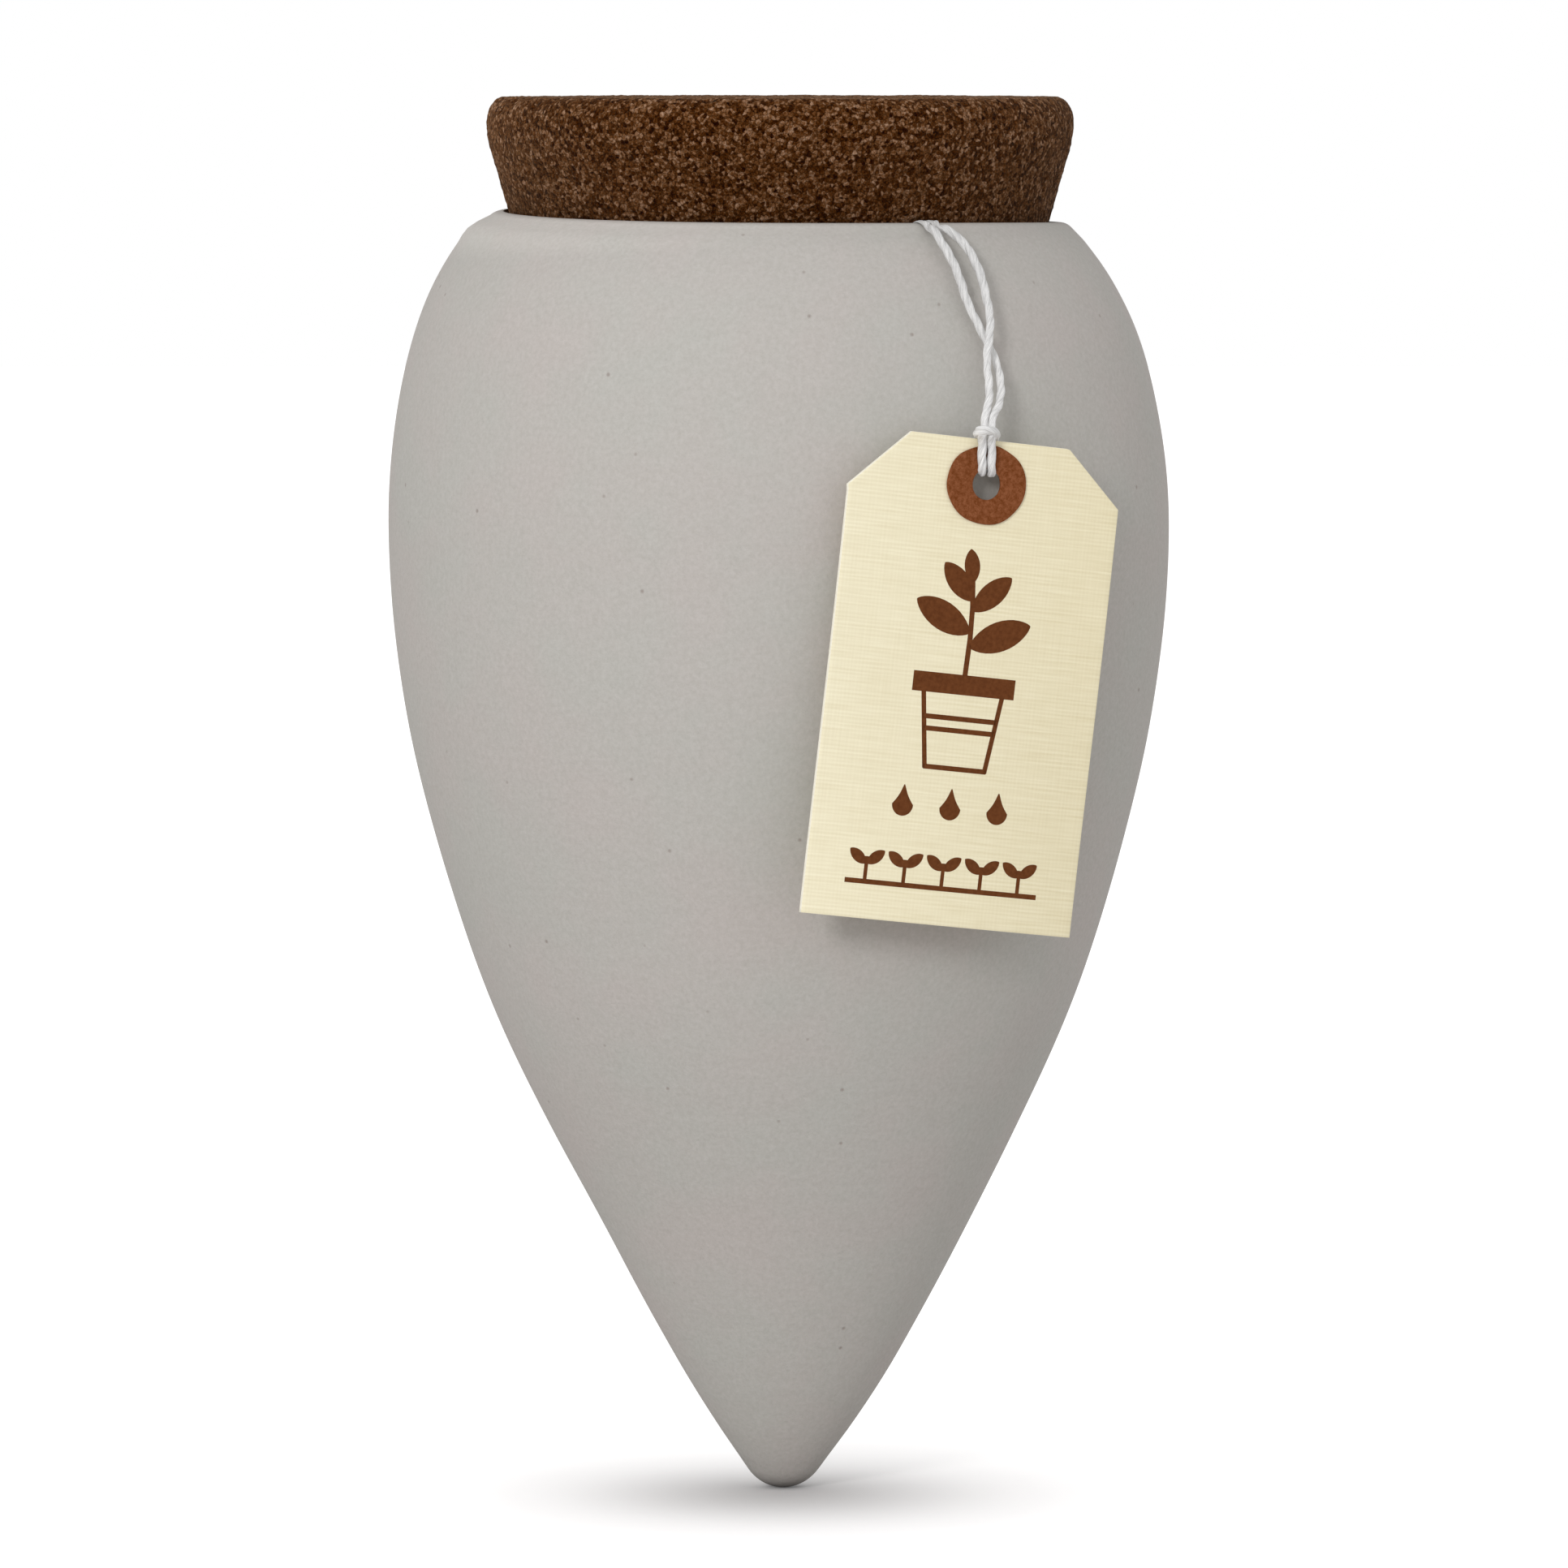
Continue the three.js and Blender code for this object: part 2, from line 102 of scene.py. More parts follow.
# Stopper, as in the CAD
CORK_TOP = 143.3
CORK_BOTTOM = 120.3
CORK_TAPER = math.radians(16.2)
CORK_SEAT = (27.446, 130)  # radius and height on the tapered side
CORK_SIDE_ROUND = 11
CORK_EDGE = (1.85, 2.7)
CORK_FOOT_ROUND = 0.8
CORK_LEAN = 0.12  # it sits a little to the right in the mouth
CORK_WORN = 0.2  # the top is worn down by this much
WORN_RISE = (137, 143)  # heights between which the wear sets in
CORK_TURNS = 520
BASE_ROWS = 16
HIDDEN_ROWS = 14  # in the mouth
SHOWN_ROWS = 22
TOP_ROWS = 60
# Its rough skin: granules with their width and how they stand out, crumbs and waves with height and width
GRANULE = 0.8
GRANULE_RISE = 0.1
GRANULE_MIDDLE = 0.45
CRUMB = (0.07, 0.45)
CORK_WAVE = (0.08, 4)
PIT_CHANCE = 0.86  # granules that draw more than this have broken out
PIT_DEPTH = 0.16
PIT_SPREAD = 7.3  # so that neighbouring granules draw differently
CORK_SHRINK = 0.06  # taken off, so that the granules' tops stay near the CAD's skin
# The string's dent: from the string's middle to the cork, and how wide it is at its floor and at its edge
DENT_REACH = 0.42
DENT_WIDTHS = (0.95, 1.5)
NO_DENT = 99  # farther out than the cork

# String, as in the CAD: the two halves from the end knot over the rim to the hitch on the tag
STRING_DIAMETER = 0.95
PLIES = 3
PLY_TURN = 6.2  # length of one full turn of the plies
PLY_CORNERS = 8
PLY_GROOVE = 0.26  # share of the radius that the grooves between the plies take
LONG_SWELL = (0.05, 1.7)  # share of the radius and length of its thick and thin places
SHORT_SWELL = (0.03, 0.6)
RIGHT_PHASE = 1.1  # how far the plies are turned where the right half and the hitch start
HITCH_PHASE = 0.5
STRING_STEP = 0.13
LINE_STEPS = 60  # of the curve between two stops of a line
NIP_AZIMUTH = math.radians(30.3)
NIP_OUT = Vector((math.sin(NIP_AZIMUTH), -math.cos(NIP_AZIMUTH), 0))
NIP_SIDE = Vector((math.cos(NIP_AZIMUTH), math.sin(NIP_AZIMUTH), 0))
STRAND_PITCH = 1.15
TAIL_HEIGHTS = (91.075, 100.75, 110.425, 120.1, 127)
# Bend over the rim in its own upright plane, where the stopper presses the string down onto the rim
BEND_MIDDLE = (29, 128.92)
BEND_RADIUS = 2
BEND_TURNS = (-90, -60, -30, 0, 28, 52)
NIP_SINK = 0.36  # from the string's middle to the clay under it
NIP_FLAT = 0.6  # share of its height that it loses there
NIP_RISE = (-1, 1)  # over the bend's middle, from round to flat
NIP_RUNS_OUT = (0.6, 1.6)  # outside the bend's middle, from flat to round
NIP_REACH = 0.8  # what lies within this of the bend is pressed
# Shares of its diameter: as laid, lost at the nip, lost where it is drawn out, and the shares of its length
# between which this comes and goes
LAID = 0.97
NIP_LOSS = 0.15
NIP_STARTS = (0.42, 0.5)
NIP_ENDS = (0.6, 0.68)
DRAWN_LOSS = 0.09
DRAWN_OUT = (0.65, 0.95)
LEFT_STRAND = [
    (15.47, -27.97, 129.86), (16.47, -28.92, 128.32), (17.44, -29.75, 126.58), (18.15, -30.59, 124.72),
    (18.79, -31.3, 122.77), (19.72, -31.69, 120.82), (20.49, -31.87, 119.26), (21.25, -32.04, 117.8),
    (21.77, -32.66, 116.36), (22.04, -33.54, 115.02), (22.08, -34.54, 113.84), (21.76, -36.01, 112.43)]
RIGHT_STRAND = [
    (16.82, -27.19, 129.94), (17.99, -27.54, 129.03), (18.88, -28.06, 128.02), (19.6, -28.74, 126.73),
    (20.2, -29.49, 125.27), (20.63, -30.39, 123.49), (21, -31.33, 121.71), (21.04, -32.4, 120.26),
    (20.89, -33.29, 118.9), (20.71, -33.84, 117.53), (20.77, -34.35, 116.01), (20.9, -35.12, 114.42),
    (20.87, -36.09, 113.16)]
LEFT_AT_BAR = 0.3  # where each strand goes under the hitch's bar
RIGHT_AT_BAR = -0.5
INTO_HITCH = [(0.2, 1.5, -1.05), (0, 0.15, -0.35)]  # its last stops, from there, in the tag's frame
KNOT_MIDDLE = Vector((13.634, -23.333, 88.475))
KNOT_SIZE = (0.42, 0.42, 0.52)
KNOT_CLOSED = 0.97
KNOT_STEPS = 36
# Half of the hitch in the tag's frame: one leg down the front, through the hole, up the back and to the bar
HALF_HITCH = [
    (0.5, -0.05, -0.3), (0.52, -0.9, -1.05), (0.52, -1.9, -1.27), (0.52, -2.9, -1.32), (0.52, -3.5, -1.48),
    (0.52, -3.88, -1.9), (0.52, -3.95, -2.4), (0.54, -3.7, -2.95), (0.62, -3, -3.2), (0.75, -1.7, -3.2),
    (0.9, -0.6, -3), (0.96, -0.25, -2.3), (0.98, -0.18, -1.4), (0.82, 0.05, -0.55), (0.42, 0.2, -0.12)]
HITCH_LEAN = (-0.39, -0.44, -0.118)  # sideways, and more of it for each step out and up
BAR_SHARE = 1.04  # of the string's diameter, less by the next on the legs
LEG_LOSS = 0.06
BAR_ENDS = (0.06, 0.14)  # from the middle of its length

# Tag, as in the CAD: its frame has its origin in the bar of the hitch, x across, y up and z out of the card
TAG_PLACE = Matrix((
    (0.907307, 0.106584, 0.406737, 20.999),
    (0.403959, 0.047454, -0.913545, -38.56),
    (-0.116671, 0.993171, 0, 110),
    (0, 0, 0, 1)))
TAG_SIZE = (29.7, 48.6)
CARD_SIDE = 1  # the card's middle beside the hitch's bar
TAG_TOP = -0.7
TAG_CLIPS = ((-1, (6.2, 5.8)), (1, (6.1, 5.5)))  # left and right
TAG_THICKNESS = 0.5
CARD_MIDDLE = -2.225
HOLE_UP = -5.13
HOLE_RADIUS = 1.53
CARD_HOLE_RADIUS = 1.85  # punched wider in the card and the back ring than in the front ring
CARD_GRID = (60, 98)
CUT_SNAP = 0.15  # corners of the grid within this of a cut go onto it
HOLE_WINDOW = 2  # half the square that the hole's edge replaces in the grid
RING_RADIUS = 4
RING_THICKNESS = 0.2
RING_TURNS = 72
# How the rings are punched: larger, wider than high and unevenly, all of it only towards their outer edge,
# and how their face buckles
RING_LARGER = 0.13
RING_WIDER = 0.22
RING_UNEVEN = (0.16, 1.6)
RING_EDGE = (2, 4)
RING_BUCKLE = (0.02, 1.3)
GLUE_FILM = 0.05
PRINT_THICKNESS = 0.02
PAPER_BEVEL = 0.06  # on the cut edges of the card and the rings
CUT_ANGLE = 1.2  # edges sharper than this are cut edges
# The card's curl: how far under the bar it starts and ends, how far it goes in the middle, and how much more
# at the sides. The card slides across with it, so that it looks straight from the front
CURL_RISE = (14, 52)
CURL = 1.7
CURL_SIDES = 0.9
CURL_SLIDE = 0.36
# The printed design, in places across and up the card: strokes with their width, leaves with their stalk,
# length, width and turn, and drops that get narrower and higher towards their point
INK_EDGE_ANGLE = 0.6  # edges sharper than this stay sharp, so that the ink lies flat
PRINT_TURNS = 32
STROKE_OVERRUN = 0.6  # share of its width by which a stroke is longer than from end to end
POT_RIM = ((-5, -25.2), (5, -25.2), 2)
OUTLINE_WIDTH = 0.5
POT_LINES = [
    ((-4.3, -26.2), (-3.3, -33.6)), ((-3.3, -33.6), (3.3, -33.6)), ((3.3, -33.6), (4.3, -26.2)),
    ((-4, -28.6), (4, -28.6)), ((-3.8, -29.8), (3.8, -29.8))]
STEM = [(0, -24.2), (0.1, -20.5), (0, -17.4), (-0.3, -14.6)]
STEM_WIDTH = 0.55
LEAVES = [
    ((0.1, -21.4), 7, 3, 0.4), ((0, -20), 6.8, 2.9, 2.7), ((0, -17.8), 5.4, 2.4, 0.75),
    ((0, -16.8), 5, 2.3, 2.35), ((-0.2, -15), 3.4, 1.7, 1.75)]
DROP_SIZE = 2.3
DROP_NARROWER = 0.72
DROP_HIGHER = 0.75
DROPS = [(-5.2, -37.6), (0, -37.6), (5.2, -37.6)]
SOIL = ((-10.4, -45.6), (10.4, -45.6))
SPROUTS_ACROSS = (-8.4, -4.2, 0, 4.2, 8.4)
SPROUT_STEM = (-45.6, -43.2)
SPROUT_STEM_WIDTH = 0.4
SPROUT_STALK = -43.8
SPROUT_LEAVES = [(0.05, 0.65), (-0.05, 2.5)]  # beside the stem, and turn
SPROUT_LEAF_SIZE = (2.3, 1.15)


def linear(hex_colour):
    """A written sRGB colour as linear RGBA."""
    parts = [int(hex_colour[i:i + 2], 16) / 255 for i in (1, 3, 5)]
    return (*[p / 12.92 if p <= 0.04045 else ((p + 0.055) / 1.055) ** 2.4 for p in parts], 1)


def add(tree, kind, inputs=None, stops=None, **settings):
    """Adds a node with its settings, its inputs (values or linked sockets) and a ramp's stops."""
    node = tree.nodes.new(kind)
    for name, value in settings.items():
        setattr(node, name, value)
    for name, value in (inputs or {}).items():
        if isinstance(value, bpy.types.NodeSocket):
            tree.links.new(value, node.inputs[name])
        else:
            node.inputs[name].default_value = value
    for i, (place, colour) in enumerate(stops or []):
        mark = node.color_ramp.elements[i] if i < 2 else node.color_ramp.elements.new(place)
        mark.position = place
        mark.color = linear(colour)
    return node


def new_material(name):
    """An empty material, its node tree and its output."""
    material = bpy.data.materials.new(name)
    material.use_nodes = True
    tree = material.node_tree
    tree.nodes.clear()
    return material, tree, add(tree, "ShaderNodeOutputMaterial")


def fired_clay():
    """Unglazed earthenware: matt, pale grey and sandy, with faint clouds, turning lines and pinholes."""
    material, tree, output = new_material("fired_earthenware")
    place = add(tree, "ShaderNodeTexCoord").outputs["Object"]
    # Clouds 14 mm wide, sand 0.45 mm wide, dabs 4 mm wide, turning lines 0.9 mm high and 25 mm long, and one
    # possible pinhole in each 3.3 mm
    clouds = add(tree, "ShaderNodeTexNoise", {"Vector": place, "Scale": 70, "Detail": 3, "Roughness": 0.55})
    sand = add(tree, "ShaderNodeTexNoise", {"Vector": place, "Scale": 2200, "Detail": 4, "Roughness": 0.7})
    dabs = add(tree, "ShaderNodeTexNoise", {"Vector": place, "Scale": 250, "Detail": 2})
    level = add(tree, "ShaderNodeMapping", {"Vector": place, "Scale": (40, 40, 1100)})
    lines = add(tree, "ShaderNodeTexNoise", {"Vector": level.outputs["Vector"], "Scale": 1, "Detail": 2})
    holes = add(tree, "ShaderNodeTexVoronoi", {"Vector": place, "Scale": 300})
    tone = add(tree, "ShaderNodeValToRGB", {"Fac": clouds.outputs["Fac"]},
               stops=[(0.35, "#b9b7b2"), (0.65, "#bcb6b2")])
    grit = add(tree, "ShaderNodeValToRGB", {"Fac": sand.outputs["Fac"]},
               stops=[(0.3, "#f0f0ee"), (0.7, "#ffffff")])
    sandy = add(tree, "ShaderNodeMix", {
        "Factor": 1, "A": tone.outputs["Color"], "B": grit.outputs["Color"]}, **TINTED)
    near = add(tree, "ShaderNodeMapRange", {
        "Value": holes.outputs["Distance"], "From Min": 0.03, "From Max": 0.08, "To Min": 1, "To Max": 0})
    chance = add(tree, "ShaderNodeSeparateColor", {"Color": holes.outputs["Color"]})
    rare = add(tree, "ShaderNodeMath", {0: chance.outputs["Red"], 1: 0.6}, operation="GREATER_THAN")
    pinhole = add(tree, "ShaderNodeMath", {0: near.outputs["Result"], 1: rare.outputs["Value"]},
                  operation="MULTIPLY")
    colour = add(tree, "ShaderNodeMix", {"Factor": pinhole.outputs["Value"], "A": sandy.outputs["Result"],
                                         "B": linear("#9c948e")}, data_type="RGBA")
    # Painted light brightens the rim band under the stopper, most of all at the left
    rise = add(tree, "ShaderNodeVectorMath", {0: place, 1: (-0.06, 0, 1)}, operation="DOT_PRODUCT")
    painted_light = add(tree, "ShaderNodeMapRange", {
        "Value": rise.outputs["Value"], "From Min": 0.1284, "From Max": 0.1316, "To Min": 1, "To Max": 1.22})
    colour = add(tree, "ShaderNodeMix", {
        "Factor": 1, "A": colour.outputs["Result"], "B": painted_light.outputs["Result"]}, **TINTED)
    sunk = add(tree, "ShaderNodeMath", {0: sand.outputs["Fac"], 1: pinhole.outputs["Value"]},
               operation="SUBTRACT")
    dabbed = add(tree, "ShaderNodeMath", {0: dabs.outputs["Fac"], 1: 1.6, 2: sunk.outputs["Value"]},
                 operation="MULTIPLY_ADD")
    height = add(tree, "ShaderNodeMath", {0: lines.outputs["Fac"], 1: 0.8, 2: dabbed.outputs["Value"]},
                 operation="MULTIPLY_ADD")
    relief = add(tree, "ShaderNodeBump", {
        "Height": height.outputs["Value"], "Strength": 0.35, "Distance": 0.00012})
    shader = add(tree, "ShaderNodeBsdfPrincipled", {
        "Base Color": colour.outputs["Result"], "Roughness": 0.93, "Specular IOR Level": 0.2,
        "Normal": relief.outputs["Normal"]})
    tree.links.new(shader.outputs["BSDF"], output.inputs["Surface"])
    return material


def toasted_cork():
    """Toasted agglomerated cork: dark brown granules, pale flecks where they are cut, dark pits between."""
    material, tree, output = new_material("toasted_agglomerated_cork")
    place = add(tree, "ShaderNodeTexCoord").outputs["Object"]
    # Granules 0.42 mm wide, flecks and crumbs 0.3 mm wide
    granules = add(tree, "ShaderNodeTexVoronoi", {"Vector": place, "Scale": 2400})
    seams = add(tree, "ShaderNodeTexVoronoi", {"Vector": place, "Scale": 2400}, feature="DISTANCE_TO_EDGE")
    crumbs = add(tree, "ShaderNodeTexNoise", {"Vector": place, "Scale": 3300, "Detail": 3, "Roughness": 0.7})
    chance = add(tree, "ShaderNodeSeparateColor", {"Color": granules.outputs["Color"]})
    mixed = add(tree, "ShaderNodeMix", {
        "Factor": 0.28, "A": crumbs.outputs["Fac"], "B": chance.outputs["Red"]})
    tone = add(tree, "ShaderNodeValToRGB", {"Fac": mixed.outputs["Result"]}, stops=[
        (0.3, "#160100"), (0.74, "#a07f67"), (0.4, "#391900"), (0.5, "#522f12"), (0.58, "#6b472a")])
    seam = add(tree, "ShaderNodeMapRange", {
        "Value": seams.outputs["Distance"], "From Max": 0.12, "To Min": 0.55, "To Max": 1})
    colour = add(tree, "ShaderNodeMix", {
        "Factor": 1, "A": tone.outputs["Color"], "B": seam.outputs["Result"]}, **TINTED)
    # Painted shade darkens it towards its foot, painted light pales its left end; its pressed top is smoother
    reach = add(tree, "ShaderNodeSeparateXYZ", {"Vector": place})
    painted_cork_shading = add(tree, "ShaderNodeMapRange", {
        "Value": reach.outputs["Z"], "From Min": 0.13, "From Max": 0.142, "To Min": 0.81, "To Max": 1.04})
    painted_light = add(tree, "ShaderNodeMapRange", {
        "Value": reach.outputs["X"], "From Min": -0.0305, "From Max": -0.025, "To Min": 1.4, "To Max": 1})
    painted_cork_shading = add(tree, "ShaderNodeMath", {0: painted_cork_shading.outputs["Result"], 1: painted_light.outputs["Result"]},
                operation="MULTIPLY")
    colour = add(tree, "ShaderNodeMix", {
        "Factor": 1, "A": colour.outputs["Result"], "B": painted_cork_shading.outputs["Value"]}, **TINTED)
    facing = add(tree, "ShaderNodeNewGeometry")
    facing = add(tree, "ShaderNodeSeparateXYZ", {"Vector": facing.outputs["True Normal"]})
    rough = add(tree, "ShaderNodeMapRange", {
        "Value": facing.outputs["Z"], "From Min": 0.5, "From Max": 0.95, "To Min": 0.7, "To Max": 0.3})
    height = add(tree, "ShaderNodeMath", {0: seam.outputs["Result"], 1: crumbs.outputs["Fac"]},
                 operation="ADD")
    relief = add(tree, "ShaderNodeBump", {
        "Height": height.outputs["Value"], "Strength": rough.outputs["Result"], "Distance": 0.0002})
    shader = add(tree, "ShaderNodeBsdfPrincipled", {
        "Base Color": colour.outputs["Result"], "Roughness": 0.95, "Specular IOR Level": 0.03,
        "Sheen Weight": 0.12, "Sheen Roughness": 0.4, "Sheen Tint": linear("#d9b894"),
        "Normal": relief.outputs["Normal"]})
    tree.links.new(shader.outputs["BSDF"], output.inputs["Surface"])
    return material


def linen_card():
    """Cream card embossed like linen: fine level ribs, fainter upright ones, and streaks that come and go."""
    material, tree, output = new_material("linen_embossed_card")
    place = add(tree, "ShaderNodeUVMap", uv_map="card").outputs["UV"]
    # The real threads are about 0.2 mm wide, too fine to show, so they are drawn 0.4 mm apart, with streaks
    # 0.25 mm wide and 6 mm long
    level = add(tree, "ShaderNodeMapping", {"Vector": place, "Scale": (0.17, 3.8, 1)})
    upright = add(tree, "ShaderNodeMapping", {"Vector": place, "Scale": (3.8, 0.17, 1)})
    weft = add(tree, "ShaderNodeTexNoise", {"Vector": level.outputs["Vector"], "Scale": 1, "Detail": 2})
    warp = add(tree, "ShaderNodeTexNoise", {"Vector": upright.outputs["Vector"], "Scale": 1, "Detail": 2})
    streaks = add(tree, "ShaderNodeMix", {
        "Factor": 0.25, "A": weft.outputs["Fac"], "B": warp.outputs["Fac"]})
    ribs = add(tree, "ShaderNodeTexWave", {"Vector": place, "Scale": 0.785, "Distortion": 0.6},
               bands_direction="Y")
    cross_ribs = add(tree, "ShaderNodeTexWave", {"Vector": place, "Scale": 0.785, "Distortion": 0.6},
                     bands_direction="X")
    mesh = add(tree, "ShaderNodeMix", {
        "Factor": 0.3, "A": ribs.outputs["Fac"], "B": cross_ribs.outputs["Fac"]})
    woven = add(tree, "ShaderNodeMix", {
        "Factor": 0.2, "A": streaks.outputs["Result"], "B": mesh.outputs["Result"]})
    # Painted shade darkens the card a little towards its right side
    side = add(tree, "ShaderNodeSeparateXYZ", {"Vector": place})
    painted_side_shade = add(tree, "ShaderNodeMapRange", {
        "Value": side.outputs["X"], "From Min": -15, "From Max": 15, "To Min": 0.14, "To Max": -0.18})
    shade = add(tree, "ShaderNodeMath", {0: woven.outputs["Result"], 1: painted_side_shade.outputs["Result"]},
                operation="ADD")
    colour = add(tree, "ShaderNodeValToRGB", {"Fac": shade.outputs["Value"]},
                 stops=[(0.05, "#ddd1ac"), (0.95, "#fbf4d8")])
    relief = add(tree, "ShaderNodeBump", {
        "Height": woven.outputs["Result"], "Strength": 0.4, "Distance": 0.00006})
    shader = add(tree, "ShaderNodeBsdfPrincipled", {
        "Base Color": colour.outputs["Color"], "Roughness": 0.8, "Specular IOR Level": 0.25,
        "Normal": relief.outputs["Normal"]})
    tree.links.new(shader.outputs["BSDF"], output.inputs["Surface"])
    return material


def flecked(name, width, stops, roughness, specular):
    """A matt material with soft flecks of a width in millimetres between two tones."""
    material, tree, output = new_material(name)
    place = add(tree, "ShaderNodeTexCoord").outputs["Object"]
    flecks = add(tree, "ShaderNodeTexNoise", {"Vector": place, "Scale": 1000 / width, "Detail": 2})
    colour = add(tree, "ShaderNodeValToRGB", {"Fac": flecks.outputs["Fac"]}, stops=stops)
    shader = add(tree, "ShaderNodeBsdfPrincipled", {
        "Base Color": colour.outputs["Color"], "Roughness": roughness, "Specular IOR Level": specular})
    tree.links.new(shader.outputs["BSDF"], output.inputs["Surface"])
    return material


def card_core():
    """Cut edge of the card: the bare, paler pulp of its middle."""
    return flecked("card_core", 0.25, [(0.3, "#ece7d4"), (0.7, "#f7f3e6")], roughness=0.9, specular=0.2)


def ring_fibre():
    """Dyed fibre board: reddish brown, felted, with paler hairs and soft dark clouds."""
    material, tree, output = new_material("dyed_fibre_board")
    place = add(tree, "ShaderNodeTexCoord").outputs["Object"]
    # Felt clouds 0.4 mm wide and hairs 0.2 mm wide
    clouds = add(tree, "ShaderNodeTexNoise", {"Vector": place, "Scale": 2400, "Detail": 3, "Roughness": 0.6})
    hairs = add(tree, "ShaderNodeTexNoise", {"Vector": place, "Scale": 4500, "Detail": 2, "Distortion": 1.5})
    felt = add(tree, "ShaderNodeMix", {"Factor": 0.4, "A": clouds.outputs["Fac"], "B": hairs.outputs["Fac"]})
    colour = add(tree, "ShaderNodeValToRGB", {"Fac": felt.outputs["Result"]},
                 stops=[(0.38, "#6b3714"), (0.64, "#8d5637")])
    relief = add(tree, "ShaderNodeBump", {
        "Height": felt.outputs["Result"], "Strength": 0.5, "Distance": 0.00006})
    shader = add(tree, "ShaderNodeBsdfPrincipled", {
        "Base Color": colour.outputs["Color"], "Roughness": 0.85, "Specular IOR Level": 0.1,
        "Normal": relief.outputs["Normal"]})
    tree.links.new(shader.outputs["BSDF"], output.inputs["Surface"])
    return material


def cotton_twist():
    """Soft bleached cotton: white, matt, with fine hairs that follow the plies."""
    material, tree, output = new_material("bleached_cotton")
    yarn = add(tree, "ShaderNodeAttribute", attribute_name="yarn").outputs["Vector"]
    # Hairs about 0.12 mm wide round the string and 2 mm long
    drawn = add(tree, "ShaderNodeMapping", {"Vector": yarn, "Scale": (4, 4, 0.5)})
    hairs = add(tree, "ShaderNodeTexNoise", {
        "Vector": drawn.outputs["Vector"], "Scale": 1.5, "Detail": 3, "Roughness": 0.65})
    colour = add(tree, "ShaderNodeValToRGB", {"Fac": hairs.outputs["Fac"]},
                 stops=[(0.3, "#b9b9b8"), (0.62, "#f6f5f4")])
    # Painted shade greys it towards the rim, under the stopper
    rise = add(tree, "ShaderNodeSeparateXYZ", {"Vector": add(tree, "ShaderNodeTexCoord").outputs["Object"]})
    painted_rim_shade = add(tree, "ShaderNodeMapRange", {
        "Value": rise.outputs["Z"], "From Min": 0.117, "From Max": 0.126, "To Min": 1, "To Max": 0.87})
    colour = add(tree, "ShaderNodeMix", {
        "Factor": 1, "A": colour.outputs["Color"], "B": painted_rim_shade.outputs["Result"]}, **TINTED)
    relief = add(tree, "ShaderNodeBump", {
        "Height": hairs.outputs["Fac"], "Strength": 0.6, "Distance": 0.00012})
    shader = add(tree, "ShaderNodeBsdfPrincipled", {
        "Base Color": colour.outputs["Result"], "Roughness": 0.9, "Specular IOR Level": 0.15,
        "Sheen Weight": 0.2, "Sheen Roughness": 0.5, "Normal": relief.outputs["Normal"]})
    tree.links.new(shader.outputs["BSDF"], output.inputs["Surface"])
    return material


def brown_ink():
    """Printed brown ink: thin and matt, a little uneven where the emboss took less of it."""
    tones = [(0.3, "#5c3216"), (0.75, "#6d3f20")]
    return flecked("brown_printing_ink", 0.4, tones, roughness=0.75, specular=0.1)


def piece_of(bm, name, *materials):
    """Makes the mesh a smooth-shaded piece, from millimetres to metres."""
    bmesh.ops.transform(bm, matrix=TO_METRES, verts=bm.verts)
    mesh = bpy.data.meshes.new(name)
    bm.to_mesh(mesh)
    bm.free()
    for material in materials:
        mesh.materials.append(material)
    mesh.shade_smooth()
    piece = bpy.data.objects.new(name, mesh)
    bpy.context.scene.collection.objects.link(piece)
    return piece


def arc(middle, size, start, end, steps):
    """Points of an arc in the radius-height plane."""
    turns = [start + (end - start) * i / steps for i in range(steps + 1)]
    return [Vector((middle[0] + size[0] * math.cos(a), 0, middle[1] + size[1] * math.sin(a))) for a in turns]


def curve(handles, steps):
    """Points of a Bezier curve in the radius-height plane."""
    return interpolate_bezier(*[Vector((radius, 0, height)) for radius, height in handles], steps)


def turned(profile, turns):
    """A solid spun about the axis from a radius-height profile."""
    bm = bmesh.new()
    corners = [bm.verts.new(point) for point in profile]
    edges = [bm.edges.new(pair) for pair in zip(corners, corners[1:])]
    bmesh.ops.spin(bm, geom=corners + edges, cent=(0, 0, 0), axis=(0, 0, 1), angle=2 * math.pi, steps=turns,
                   use_merge=True)
    bmesh.ops.remove_doubles(bm, verts=bm.verts, dist=1e-4)
    bmesh.ops.recalc_face_normals(bm, faces=bm.faces)
    return bm


def between(table, height):
    """The value at a height, on straight lines through a table of heights and values."""
    for (low, first), (high, second) in zip(table, table[1:]):
        if height <= high:
            share = max(0, (height - low) / (high - low))
            return first + (second - first) * share
    return table[-1][1]


def flowing(table, height):
    """The value at a height, on a smooth curve through a table of heights and values."""
    ends = [table[0], *table, table[-1]]
    for before, (low, first), (high, second), after in zip(ends, table, table[1:], ends[3:]):
        if height <= high:
            span = high - low
            share = max(0, (height - low) / span)
            leaving = (second - before[1]) / (high - before[0]) * span
            arriving = (after[1] - first) / (after[0] - low) * span
            rise = share * share * (3 - 2 * share)
            bend = share * (1 - share)
            return first + (second - first) * rise + bend * ((1 - share) * leaving - share * arriving)
    return table[-1][1]


def eased(value, low, high):
    """0 below low, 1 above high, and a soft step between."""
    share = min(1, max(0, (value - low) / (high - low)))
    return share * share * (3 - 2 * share)


